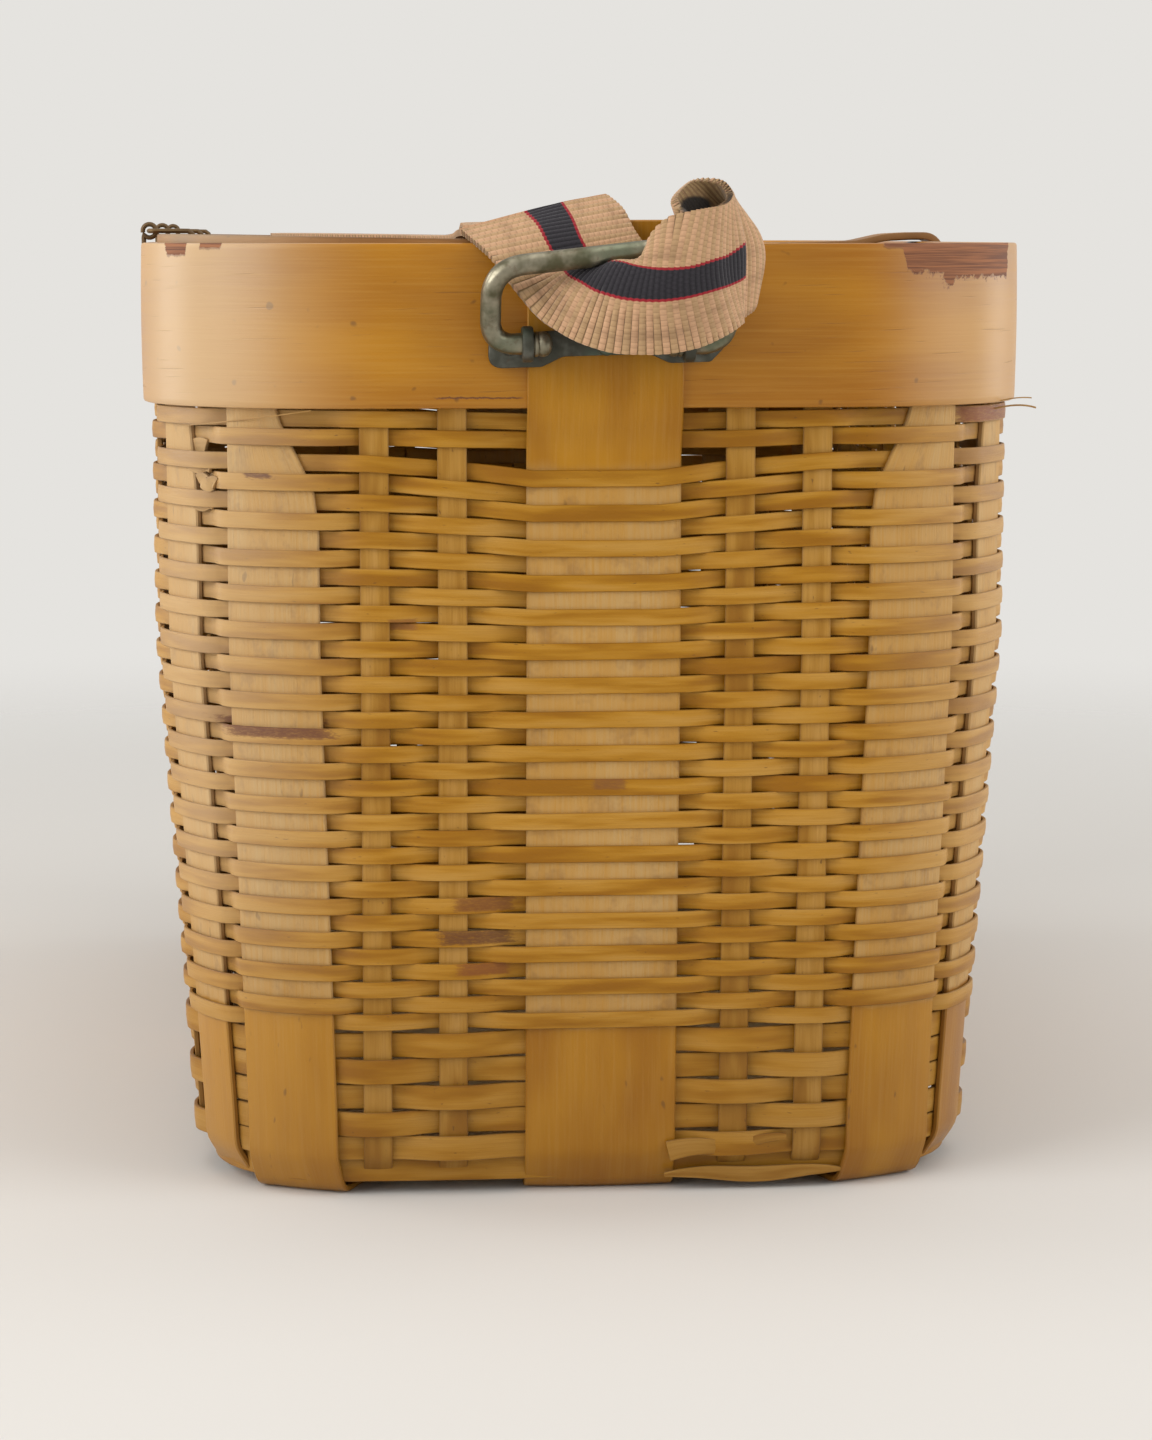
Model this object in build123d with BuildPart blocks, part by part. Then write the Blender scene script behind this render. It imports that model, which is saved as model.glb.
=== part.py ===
from build123d import *
import os
from math import cos, pi, radians, sin, sqrt

os.makedirs("parts", exist_ok=True)

# Driving dimensions, in millimetres. +Z is up, the long way is Y, and the origin lies under the
# middle of the base, on the surface that the creel stands on.
rim_width = 180.0  # over the outer rim band, across X
rim_length = 300.0  # over the outer rim band, along Y
rim_height = 192.5  # top edge of the outer rim band
band_height = 32.0
inner_band_rise = 4.0  # the inner band starts this far above the outer one
band_thickness = 2.4
wall_corner_radius = 38.0
wall_knee_height = 112.0  # the wall is upright above this and leans in below it
wall_lean = 7.0  # how far the wall comes in from the knee to the base
end_foot = 26.0  # how far an end splint's foot reaches in under the base
corner_foot = 20.0
base_inset = 4.2  # from the foot of the wall line to the edge of the base strips
foot_bend = 4.6  # how far inwards an upright turns under the base

splint_thickness = 1.3  # wide upright splints
stake_thickness = 1.1  # narrow upright stakes
weaver_thickness = 0.8
weave_gap = 0.2
seat_gap = 0.1  # between flat faces that lie on each other
band_gap = 0.2  # between an upright and the rim band on each side of it
loose_gap = 0.3  # between parts that move past each other

centre_width = 30.6
centre_shift = 1.4  # the centre splint and its bails stand a little to the right
end_splint_width = 19.5
corner_splint_width = 17.0
splint_top_width = 9.6  # the splints on the round corners narrow to this under the rim bands
splint_taper_bottom = 141.0
centre_jog = 5.0  # the centre splint steps out to pass over the rim band within this height
jog_clearance = 0.5
side_splint_width = 20.0
stake_width = 5.8
inner_stake_place = 28.5  # along the wall, from the middle of an end
outer_stake_place = 43.8
end_splint_place = 64.5
corner_splint_place = 88.9
side_stakes_per_quarter = 3

thin_rows = 20
base_rows = 4
base_row_height = 6.9
row_gap = 0.2
narrow_crest = 2.3  # how far a weaver's middle stands off the wall at a narrow stake
weave_start = 1.2  # above the turned-in feet
weave_top_gap = 0.4

base_strip_thickness = 1.0
base_strip_width = 15.0
base_strip_pitch = 17.5

lid_seat_depth = 8.4  # from the rim's top to the tops of the uprights and the inner band
lid_clearance = 1.0
lid_hoop_thickness = 2.4
lid_hoop_height = 7.0
lid_rise = 0.45  # the middle of the lid's top above the rim
lid_tilt = 0.9  # degrees, down towards the latch
lid_strip_thickness = 1.0
lid_batten_width = 9.0
lid_batten_pitch = 18.4
lid_strip_width = 14.0
lid_strip_pitch = 15.6
hole_width = 40.0
hole_length = 70.0
hole_place = 18.0
hole_frame_width = 5.0
hole_frame_height = 3.2
hole_frame_corner = 3.0

wire_radius = 0.5
hinge_eye_radius = 1.4
hinge_axis_inset = 0.6  # inwards from the outer face of the rim band
hinge_places = (-78.0, 0.0, 78.0)
hinge_link_width = 8.0
hinge_link_reach = 9.0
hinge_eye_sides = 12
hinge_clip_drop = 14.0

tongue_width = 14.0
tongue_thickness = 1.6
tongue_root = 52.0
tongue_stand_off = 4.6  # from the rim band's outer face to the tongue
tongue_drop = 21.0
tongue_bend = 3.0
tongue_lift = 0.5  # between the rim's top and the tongue
keeper_height = 8.0
keeper_thickness = 1.4
keeper_foot = 6.0
keeper_drop = 14.0  # from the rim's top to the keeper's top
keeper_clearance = 0.6
keeper_side_gap = 1.6
keeper_slant = 3.2

plate_length = 46.0
plate_height = 7.4
plate_waist_height = 5.4
plate_waist_length = 26.0
plate_waist_angle = 65.0
plate_corner = 2.0
plate_thickness = 1.5
plate_drop = 0.5  # from the bail's axis down to the plate's middle
ear_thickness = 2.2
ear_radius = 3.5
ear_root_height = 6.3
ear_sides = 12
ear_inside = 14.6  # from the bail's middle to an ear's inner face
bail_axis_drop = 19.3  # from the rim's top down to the bail's axis
bail_axis_stand_off = 3.9  # from the plate's face
rod_radius = 2.05
journal_clearance = 0.05
ball_radius = 2.9
bail_half_width = 22.9
bail_reach = 18.5
bail_bend_radius = 7.5
bail_foot_radius = 5.4
rod_sides = 6
ball_sides = 10
ball_taper = 20.0
bend_shares = (1 / 3, 2 / 3)  # where a bend of the bail is cut into straight runs
bail_lean = 22.0  # degrees outwards from upright
splint_top_rise = 4.5  # the centre splint's ends stand above the rim by this
rivet_count = 3
rivet_pitch = 19.0
rivet_sides = 8
rivet_radius = 1.9
rivet_head = 1.2
rivet_taper = 30.0

strap_width = 28.0
strap_thickness = 1.6
wrap_slack = 1.12  # how loosely the sewn loop goes round its bail
strap_lay = 50.0  # how far the strap lies to the hinge side on the lid
strap_straight = 60.0  # half the length that it lies there
strap_front_place = -10.0
strap_rear_place = 0.0
hitch_height = 27.0
hitch_rise = 3.6  # from the bail's axis to the hitch's lower edge
hitch_stand_off = 2.0  # between the bail's bar and the turn in front of it
hitch_turn = [(-13.0, -1.0), (-2.0, 2.6), (14.0, 3.6), (25.0, 1.6)]  # across, outwards
hitch_side_gap = 3.4
hitch_corner = 1.8
hitch_end = 17.0  # across, where the turn comes back behind the bail
hitch_back_gap = 2.9  # from the bail's axis in to the returning end
wrap_turns = range(165, 400, 45)  # degrees
loop_lift = 1.4
loop_spread = 2.4  # between the loop's two thicknesses where they are sewn together

# Sizes that follow.
wall_offset = splint_thickness / 2 + band_gap
wall_half_width = rim_width / 2 - band_thickness - wall_offset
wall_half_length = rim_length / 2 - band_thickness - wall_offset
end_flat = wall_half_width - wall_corner_radius
side_flat = wall_half_length - wall_corner_radius
corner_arc = wall_corner_radius * pi / 2
quarter = end_flat + corner_arc + side_flat
band_bottom = rim_height - band_height
bail_axis_height = rim_height - bail_axis_drop
plate_centre_height = bail_axis_height - plate_drop
base_levels = [0.0]
for level_thickness in (splint_thickness, splint_thickness, stake_thickness, stake_thickness):
    base_levels.append(base_levels[-1] + level_thickness + weave_gap)
base_strip_bottom = base_levels[4]
weave_bottom = base_levels[4]
lean_slope = wall_lean / (wall_knee_height - weave_bottom)


def lean(height):
    """How far the wall stands inside its upright line at a height."""
    return max(0.0, (wall_knee_height - height) * lean_slope)


def wall_place(distance):
    """A point of the upright wall line and its outward direction, by distance from the front middle."""
    turn = int(distance // quarter) % 4
    along = distance - (distance // quarter) * quarter
    if turn % 2:
        along = quarter - along
    if along <= end_flat:
        x, y, angle = along, -wall_half_length, 0.0
    elif along <= end_flat + corner_arc:
        angle = (along - end_flat) / wall_corner_radius
        x = end_flat + wall_corner_radius * sin(angle)
        y = -side_flat - wall_corner_radius * cos(angle)
    else:
        x, y, angle = wall_half_width, along - quarter, pi / 2
    side = 1 if turn in (0, 1) else -1
    end = 1 if turn in (0, 3) else -1
    out = Vector(side * sin(angle), -end * cos(angle))
    return Vector(side * x, end * y), out, 0 < angle < pi / 2


def sagitta(half_width):
    """How far a flat strip's middle lies inside the round corner that its edges touch."""
    return wall_corner_radius - sqrt(wall_corner_radius**2 - half_width**2)


def wall_spot(distance, half_width, across, off):
    """A point beside a flat upright of a half width, across its middle and off the wall line."""
    place, out, round_corner = wall_place(distance)
    if round_corner:
        off -= sagitta(half_width)
    tangent = Vector(-out.Y, out.X)
    return place + tangent * across + out * off


def quarter_uprights():
    """The uprights between the middle of an end and the middle of a side: place, half width."""
    uprights = [
        (inner_stake_place, stake_width / 2),
        (outer_stake_place, stake_width / 2),
        (end_splint_place, end_splint_width / 2),
        (corner_splint_place, corner_splint_width / 2),
    ]
    start = corner_splint_place + corner_splint_width / 2
    room = quarter - side_splint_width / 2 - start
    pitch = (room + stake_width) / (side_stakes_per_quarter + 1)
    for number in range(side_stakes_per_quarter):
        uprights.append((start - stake_width / 2 + pitch * (number + 1), stake_width / 2))
    return uprights


quarter_list = quarter_uprights()
side_stake_places = [quarter - place for place, half in quarter_list[4:]]
uprights = [(centre_shift, centre_width / 2)]
uprights += quarter_list
uprights += [(quarter, side_splint_width / 2)]
uprights += [(2 * quarter - place, half) for place, half in reversed(quarter_list)]
uprights += [(2 * quarter - centre_shift, centre_width / 2)]
uprights += [(2 * quarter + place, half) for place, half in quarter_list]
uprights += [(3 * quarter, side_splint_width / 2)]
uprights += [(4 * quarter - place, half) for place, half in reversed(quarter_list)]


def weaver_line(height, row_height, side, goes_over):
    """One face of a weaver at a height, as the points where it bends round the uprights."""
    slack = lean_slope * row_height / 2 if height < wall_knee_height else 0
    wide_lift = splint_thickness / 2 + weave_gap + weaver_thickness / 2 + slack
    points = []
    for number, (distance, half_width) in enumerate(uprights):
        sign = 1 if goes_over(number, half_width) else -1
        wide = half_width > stake_width / 2
        lift = sign * (wide_lift if wide else narrow_crest)
        off = lift + side * weaver_thickness / 2 - lean(height)
        for across in (-half_width, half_width) if wide else (0,):
            points.append(wall_spot(distance, half_width, across, off))
    return points


def weaver(height, row_height, goes_over):
    """A closed weaver row, its lower edge at a height."""
    middle = height + row_height / 2
    with BuildPart() as row:
        with BuildSketch(Plane.XY.offset(height)):
            with BuildLine():
                Polyline(*weaver_line(middle, row_height, 1, goes_over), close=True)
            make_face()
            with BuildLine():
                Polyline(*weaver_line(middle, row_height, -1, goes_over), close=True)
            make_face(mode=Mode.SUBTRACT)
        extrude(amount=row_height)
    return row.part


def strip_outline(line, thickness):
    """The closed outline of a strip that is bent along a line of points."""
    points = [Vector(*point) for point in line]
    left, right = [], []
    for number, point in enumerate(points):
        before = (point - points[max(number - 1, 0)]).normalized() if number else None
        last = number == len(points) - 1
        after = None if last else (points[number + 1] - point).normalized()
        normals = [Vector(-way.Y, way.X) for way in (before, after) if way is not None]
        mitre = (normals[0] + normals[-1]).normalized()
        reach = thickness / 2 / mitre.dot(normals[0])
        left.append(point + mitre * reach)
        right.append(point - mitre * reach)
    return left + right[::-1]


def bent_strip(plane, line, thickness, width):
    """A strip bent along a line in a plane, its width to both sides of the plane."""
    with BuildPart() as strip:
        with BuildSketch(plane):
            with BuildLine():
                Polyline(*strip_outline(line, thickness), close=True)
            make_face()
        extrude(amount=width / 2, both=True)
    return strip.part


def rounded_hoop(plane, half_width, half_length, radius, thickness, height):
    """A bent hoop with round corners, its outer face at the half sizes, up from a plane."""
    with BuildPart() as hoop:
        with BuildSketch(plane):
            RectangleRounded(2 * half_width, 2 * half_length, radius)
            offset(amount=-thickness, mode=Mode.SUBTRACT)
        extrude(amount=height)
    return hoop.part


def finish(part, name):
    part.label = name
    export_step(part, f"parts/{name}.step")


def wall_profile(thickness, level, half_size):
    """The line of an upright down the wall from its knee and under the base, outwards positive."""
    bottom = base_levels[level] + thickness / 2
    return [
        (half_size, wall_knee_height),
        (half_size - wall_lean, weave_bottom),
        (half_size - wall_lean - foot_bend / 3, bottom + foot_bend / 3),
        (half_size - wall_lean - foot_bend, bottom),
    ]


def looped(rise):
    """The whole line of a strip that runs up two facing walls, from the line of one of them."""
    return rise + [(-out, up) for out, up in reversed(rise)]


upright_top = rim_height - lid_seat_depth

# Splints that run under the base and up both walls.
centre_jog_bottom = band_bottom - centre_jog
centre_outer = band_thickness + wall_offset + seat_gap + splint_thickness / 2
rise = [
    (wall_half_length + centre_outer, rim_height + splint_top_rise),
    (wall_half_length + centre_outer, band_bottom - jog_clearance),
    (wall_half_length, centre_jog_bottom),
]
centre_line = looped(rise + wall_profile(splint_thickness, 0, wall_half_length))
middle_plane = Plane(origin=(centre_shift, 0, 0), x_dir=(0, 1, 0), z_dir=(1, 0, 0))
finish(bent_strip(middle_plane, centre_line, splint_thickness, centre_width), "centre_splint")

rise = [(wall_half_width, upright_top)]
side_line = looped(rise + wall_profile(splint_thickness, 1, wall_half_width))
finish(bent_strip(Plane.XZ, side_line, splint_thickness, side_splint_width), "side_splint")


def corner_splint(distance, width, level, foot):
    """A splint on a round corner: flat, narrowed at its top, with a foot turned under the base."""
    middle = wall_spot(distance, width / 2, 0, 0)
    out = wall_place(distance)[1]
    spot = (middle.X, middle.Y, 0)
    plane = Plane(origin=spot, x_dir=(out.X, out.Y, 0), z_dir=(out.Y, -out.X, 0))
    face_plane = Plane(origin=spot, x_dir=(-out.Y, out.X, 0), z_dir=(out.X, out.Y, 0))
    jog = sagitta(width / 2) - sagitta(splint_top_width / 2) / 2
    jog_bottom = band_bottom + seat_gap
    line = [(jog, upright_top), (jog, band_bottom + inner_band_rise - seat_gap), (0, jog_bottom)]
    line += wall_profile(splint_thickness, level, 0)
    line.append((-wall_lean - foot, line[-1][1]))
    half, top_half = width / 2, splint_top_width / 2
    with BuildPart() as splint:
        add(bent_strip(plane, line, splint_thickness, width))
        with BuildSketch(face_plane):
            with BuildLine():
                Polyline(
                    (-half, -splint_thickness), (half, -splint_thickness),
                    (half, splint_taper_bottom),
                    (top_half, band_bottom), (top_half, rim_height), (-top_half, rim_height),
                    (-top_half, band_bottom), (-half, splint_taper_bottom), close=True,
                )
            make_face()
        extrude(amount=wall_corner_radius, both=True, mode=Mode.INTERSECT)
    return splint.part


splint_kinds = {
    "end_splint": (end_splint_place, end_splint_width, 0, end_foot),
    "corner_splint": (corner_splint_place, corner_splint_width, 1, corner_foot),
}
for kind, (place, width, level, foot) in splint_kinds.items():
    corners = {
        "front_right": place,
        "rear_right": 2 * quarter - place,
        "rear_left": 2 * quarter + place,
        "front_left": 4 * quarter - place,
    }
    for corner, distance in corners.items():
        finish(corner_splint(distance, width, level, foot), f"{corner}_{kind}")

# Narrow stakes, each one strip that runs down a wall, under the base and up the far wall.
rise = [(wall_half_length, upright_top)]
stake_line = looped(rise + wall_profile(stake_thickness, 2, wall_half_length))
with BuildPart() as long_stakes:
    for place in (inner_stake_place, outer_stake_place):
        for side in (-1, 1):
            plane = Plane(origin=(side * place, 0, 0), x_dir=(0, 1, 0), z_dir=(1, 0, 0))
            add(bent_strip(plane, stake_line, stake_thickness, stake_width))
finish(long_stakes.part, "long_stakes")

rise = [(wall_half_width, upright_top)]
stake_line = looped(rise + wall_profile(stake_thickness, 3, wall_half_width))
with BuildPart() as cross_stakes:
    for place in side_stake_places:
        for side in (-1, 1):
            plane = Plane(origin=(0, side * place, 0), x_dir=(1, 0, 0), z_dir=(0, -1, 0))
            add(bent_strip(plane, stake_line, stake_thickness, stake_width))
finish(cross_stakes.part, "cross_stakes")

# The base: flat strips laid both ways over the stakes.
base_half_width = wall_half_width - wall_lean - base_inset
base_half_length = wall_half_length - wall_lean - base_inset
base_corner = wall_corner_radius - wall_lean - base_inset


def strips_in_outline(plane, half_width, half_length, corner, strip_width, pitch, along_y, thickness):
    """Parallel strips across a rounded outline, spread evenly about its middle."""
    room = half_width if along_y else half_length
    count = int((2 * room - strip_width) // pitch) + 1
    with BuildPart() as strips:
        with BuildSketch(plane):
            RectangleRounded(2 * half_width, 2 * half_length, corner)
            with BuildSketch(mode=Mode.PRIVATE) as grid:
                spacing = (pitch, 1) if along_y else (1, pitch)
                counts = (count, 1) if along_y else (1, count)
                with GridLocations(*spacing, *counts):
                    Rectangle(
                        strip_width if along_y else 2 * half_width,
                        2 * half_length if along_y else strip_width,
                    )
            add(grid.sketch, mode=Mode.INTERSECT)
        extrude(amount=thickness)
    return strips.part


base_outline = (base_half_width, base_half_length, base_corner, base_strip_width, base_strip_pitch)
lower = Plane.XY.offset(base_strip_bottom)
upper = Plane.XY.offset(base_strip_bottom + base_strip_thickness + weave_gap)
finish(strips_in_outline(lower, *base_outline, True, base_strip_thickness), "base_long_strips")
finish(strips_in_outline(upper, *base_outline, False, base_strip_thickness), "base_cross_strips")

# Weavers: wide rows round the foot of the wall, then the thin plain weave up to the rim band.
narrow_numbers = [n for n, (place, half) in enumerate(uprights) if half <= stake_width / 2]
row_bottom = weave_bottom + weave_start
for row in range(base_rows):
    finish(
        weaver(
            row_bottom,
            base_row_height - row_gap,
            lambda number, half, row=row: number in narrow_numbers and (number + row) % 2 == 1,
        ),
        f"base_weaver_{row + 1}",
    )
    row_bottom += base_row_height
thin_pitch = (band_bottom - weave_top_gap - row_bottom) / thin_rows
for row in range(thin_rows):
    finish(
        weaver(
            row_bottom,
            thin_pitch - row_gap,
            lambda number, half, row=row: (number + row) % 2 == 0,
        ),
        f"thin_weaver_{row + 1:02d}",
    )
    row_bottom += thin_pitch

# Rim bands, one outside the uprights and one inside them that the lid comes down on.
outer_corner = wall_corner_radius + wall_offset + band_thickness
finish(
    rounded_hoop(
        Plane.XY.offset(band_bottom), rim_width / 2, rim_length / 2, outer_corner,
        band_thickness, band_height,
    ),
    "outer_rim_band",
)
finish(
    rounded_hoop(
        Plane.XY.offset(band_bottom + inner_band_rise), wall_half_width - wall_offset,
        wall_half_length - wall_offset, wall_corner_radius - wall_offset,
        band_thickness, upright_top - band_bottom - inner_band_rise,
    ),
    "inner_rim_band",
)

# The lid is built on its own plane, which lies in the lid's top and tilts about Y.
tilt = radians(lid_tilt)
lid_x = Vector(cos(tilt), 0, -sin(tilt))
lid_up = Vector(sin(tilt), 0, cos(tilt))
lid_plane = Plane(origin=(0, 0, rim_height + lid_rise), x_dir=lid_x, z_dir=lid_up)
lid_half_width = rim_width / 2 - band_thickness - lid_clearance
lid_half_length = rim_length / 2 - band_thickness - lid_clearance
lid_corner = wall_corner_radius + wall_offset - lid_clearance
finish(
    rounded_hoop(
        lid_plane.offset(-lid_hoop_height), lid_half_width, lid_half_length, lid_corner,
        lid_hoop_thickness, lid_hoop_height,
    ),
    "lid_hoop",
)
panel_gap = lid_hoop_thickness + seat_gap
panel = (lid_half_width - panel_gap, lid_half_length - panel_gap, lid_corner - panel_gap)
batten_plane = lid_plane.offset(-lid_strip_thickness * 3 - weave_gap)
strip_plane = lid_plane.offset(-lid_strip_thickness * 2)


def cut_fish_hole(part, name):
    """Cuts the fish hole through a layer of the lid."""
    with BuildPart() as layer:
        add(part)
        with BuildSketch(lid_plane.offset(-lid_hoop_height)):
            with Locations((hole_place, 0)):
                Rectangle(hole_width + 2 * (hole_frame_width + seat_gap),
                          hole_length + 2 * (hole_frame_width + seat_gap))
        extrude(amount=2 * lid_hoop_height, mode=Mode.SUBTRACT)
    finish(layer.part, name)


cut_fish_hole(
    strips_in_outline(batten_plane, *panel, lid_batten_width, lid_batten_pitch, True,
                      lid_strip_thickness),
    "lid_battens",
)
cut_fish_hole(
    strips_in_outline(strip_plane, *panel, lid_strip_width, lid_strip_pitch, False,
                      lid_strip_thickness),
    "lid_strips",
)
with BuildPart() as hole_frame:
    with BuildSketch(lid_plane.offset(-lid_strip_thickness * 3 - weave_gap)):
        with Locations((hole_place, 0)):
            RectangleRounded(
                hole_width + 2 * hole_frame_width, hole_length + 2 * hole_frame_width,
                hole_frame_corner,
            )
            Rectangle(hole_width, hole_length, mode=Mode.SUBTRACT)
    extrude(amount=hole_frame_height)
finish(hole_frame.part, "fish_hole_frame")

# Hinge: wire eyes that stand on clips over the rim band, with the lid's wire links through them.
hinge_height = rim_height + lid_rise + lid_half_width * sin(tilt) + wire_radius + seat_gap
hinge_x = -rim_width / 2 + hinge_axis_inset
clip_x = -rim_width / 2 - wire_radius - seat_gap
wire = 2 * wire_radius
with BuildPart() as hinge_eyes:
    for place in hinge_places:
        plane = Plane(origin=(hinge_x, place, hinge_height), x_dir=(1, 0, 0), z_dir=(0, -1, 0))
        with BuildSketch(plane):
            RegularPolygon(hinge_eye_radius + wire_radius, hinge_eye_sides)
            with Locations((clip_x - hinge_x, -hinge_clip_drop / 2)):
                Rectangle(wire, hinge_clip_drop)
            Circle(hinge_eye_radius - wire_radius, mode=Mode.SUBTRACT)
        extrude(amount=wire_radius, both=True)
finish(hinge_eyes.part, "hinge_eyes")

link_end = hinge_x + hinge_link_reach
link_drop = hinge_height - (rim_height + lid_rise - link_end * sin(tilt))
link_drop += lid_strip_thickness - seat_gap
link_half = hinge_link_width / 2
link_line = [
    (hinge_link_reach + wire_radius, link_half), (0, link_half),
    (0, -link_half), (hinge_link_reach + wire_radius, -link_half),
]
with BuildPart() as hinge_links:
    for place in hinge_places:
        add(bent_strip(Plane((hinge_x, place, hinge_height)), link_line, wire, wire))
        with BuildSketch(Plane((link_end, place, hinge_height))):
            with GridLocations(1, hinge_link_width, 1, 2):
                Rectangle(wire, wire)
        extrude(amount=-link_drop)
finish(hinge_links.part, "hinge_links")

# Latch: a springy tongue on the lid that drops behind a cane keeper on the rim band.
tongue_x = rim_width / 2 + tongue_stand_off + tongue_thickness / 2
root_height = rim_height + lid_rise - tongue_root * sin(tilt) - lid_strip_thickness
over_rim = rim_height + tongue_lift + tongue_thickness / 2
tongue_line = [
    (tongue_root, root_height + seat_gap + tongue_thickness / 2),
    (lid_half_width - 2 * tongue_bend, over_rim - loose_gap),
    (rim_width / 2 - tongue_bend, over_rim),
    (rim_width / 2 + tongue_bend / 2, over_rim),
    (tongue_x, over_rim - 2 * tongue_bend),
    (tongue_x, rim_height - tongue_drop),
]
tongue_plane = Plane(origin=(0, 0, 0), x_dir=(1, 0, 0), z_dir=(0, -1, 0))
finish(bent_strip(tongue_plane, tongue_line, tongue_thickness, tongue_width), "latch_tongue")

keeper_x = tongue_x + tongue_thickness / 2 + keeper_clearance + keeper_thickness / 2
keeper_foot_x = rim_width / 2 + seat_gap + keeper_thickness / 2
keeper_half = tongue_width / 2 + keeper_side_gap
keeper_line = [
    (keeper_foot_x, keeper_half + keeper_slant + keeper_foot),
    (keeper_foot_x, keeper_half + keeper_slant),
    (keeper_x, keeper_half),
]
keeper_line += [(x, -y) for x, y in reversed(keeper_line)]
keeper_plane = Plane.XY.offset(rim_height - keeper_drop - keeper_height / 2)
finish(bent_strip(keeper_plane, keeper_line, keeper_thickness, keeper_height), "latch_keeper")

# Bail hardware, the same at both ends: a waisted plate with two ears, its rivets, and the bail.
lean_angle = radians(bail_lean)
journal_end = ear_inside - loose_gap
journal_length = ear_thickness + 2 * loose_gap
plate_back = rim_length / 2 + seat_gap + splint_thickness + seat_gap
plate_face = plate_back + plate_thickness
axis_out = plate_face + bail_axis_stand_off


def eased(points, radii):
    """A line of points with each inner corner cut into short straight runs along its bend."""
    line = [Vector(*points[0])]
    for number, radius in enumerate(radii):
        before, corner, after = (Vector(*point) for point in points[number:number + 3])
        way_in, way_out = (before - corner).normalized(), (after - corner).normalized()
        centre = corner + (way_in + way_out) * radius
        line.append(corner + way_in * radius)
        for share in bend_shares:
            turn = radians(90 * share)
            line.append(centre - way_out * radius * cos(turn) - way_in * radius * sin(turn))
        line.append(corner + way_out * radius)
    return line + [Vector(*points[-1])]


def end_plane(end, out, height):
    """A plane that faces outwards at an end, with its Y up, standing off the middle by out."""
    return Plane(origin=(centre_shift, end * out, height), x_dir=(-end, 0, 0), z_dir=(0, end, 0))


bail_corners = [
    (-journal_end, 0), (-bail_half_width, 0), (-bail_half_width, bail_reach),
    (bail_half_width, bail_reach), (bail_half_width, 0), (journal_end, 0),
]
bail_radii = (bail_foot_radius, bail_bend_radius, bail_bend_radius, bail_foot_radius)
for end, name in ((-1, "front"), (1, "rear")):
    with BuildPart() as plate:
        with BuildSketch(end_plane(end, plate_back, plate_centre_height)):
            RectangleRounded(plate_length, plate_height, plate_corner)
            with Locations((0, -plate_height / 2)):
                Trapezoid(
                    plate_waist_length, 2 * (plate_height - plate_waist_height),
                    plate_waist_angle, mode=Mode.SUBTRACT,
                )
        extrude(amount=plate_thickness)
        for side in (-1, 1):
            ear_plane = Plane(
                origin=(centre_shift + side * ear_inside, 0, bail_axis_height),
                x_dir=(0, end, 0), z_dir=(side, 0, 0),
            )
            with BuildSketch(ear_plane):
                with Locations((axis_out, 0)):
                    RegularPolygon(ear_radius, ear_sides)
                with Locations(((plate_face + axis_out) / 2, 0)):
                    Rectangle(axis_out - plate_face, ear_root_height)
                with Locations((axis_out, 0)):
                    RegularPolygon(
                        rod_radius + journal_clearance, ear_sides, major_radius=False,
                        mode=Mode.SUBTRACT,
                    )
            extrude(amount=ear_thickness)
    finish(plate.part, f"{name}_bail_plate")

    bail_out = Vector(0, end * cos(lean_angle), -sin(lean_angle))
    bail_plane = Plane(
        origin=(centre_shift, end * axis_out, bail_axis_height),
        x_dir=(-end, 0, 0), z_dir=bail_out,
    )
    with BuildPart() as bail:
        with BuildLine(bail_plane) as route:
            Polyline(*[tuple(point) for point in eased(bail_corners, bail_radii)])
        with BuildSketch(Plane(origin=route.line @ 0, z_dir=route.line % 0)):
            RegularPolygon(rod_radius, rod_sides)
        sweep(path=route.line, transition=Transition.RIGHT)
        for side in (-1, 1):
            spot = (centre_shift + side * journal_end, end * axis_out, bail_axis_height)
            with BuildSketch(Plane(origin=spot, z_dir=(side, 0, 0))):
                Circle(rod_radius)
            extrude(amount=journal_length)
            with BuildSketch(Plane(origin=spot, z_dir=(-side, 0, 0))):
                RegularPolygon(ball_radius, ball_sides)
            extrude(amount=ball_radius, taper=ball_taper)
    finish(bail.part, f"{name}_bail")

with BuildPart() as rivets:
    for end in (-1, 1):
        with BuildSketch(end_plane(end, plate_face, plate_centre_height)):
            with GridLocations(rivet_pitch, 1, rivet_count, 1):
                RegularPolygon(rivet_radius, rivet_sides)
        extrude(amount=rivet_head, taper=rivet_taper)
finish(rivets.part, "bail_rivets")

# The strap: a hitch round the front bail, a run over the lid and a sewn loop on the rear bail.
bar_out = axis_out + bail_reach * sin(lean_angle)
bar_height = bail_axis_height + bail_reach * cos(lean_angle)
hitch_out = bar_out + rod_radius + hitch_stand_off
back_out = axis_out - hitch_back_gap
hitch_side = bail_half_width + rod_radius + hitch_side_gap
hitch_line = [(across, -hitch_out - out) for across, out in hitch_turn]
hitch_line += [
    (hitch_side, -hitch_out + 2 * hitch_corner),
    (hitch_side, -back_out - hitch_corner),
    (hitch_side - hitch_corner, -back_out),
    (hitch_end, -back_out),
]
hitch_middle = bail_axis_height + hitch_rise + hitch_height / 2
hitch_plane = Plane(origin=(centre_shift, 0, hitch_middle))
finish(bent_strip(hitch_plane, hitch_line, strap_thickness, hitch_height), "strap_hitch")

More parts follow.
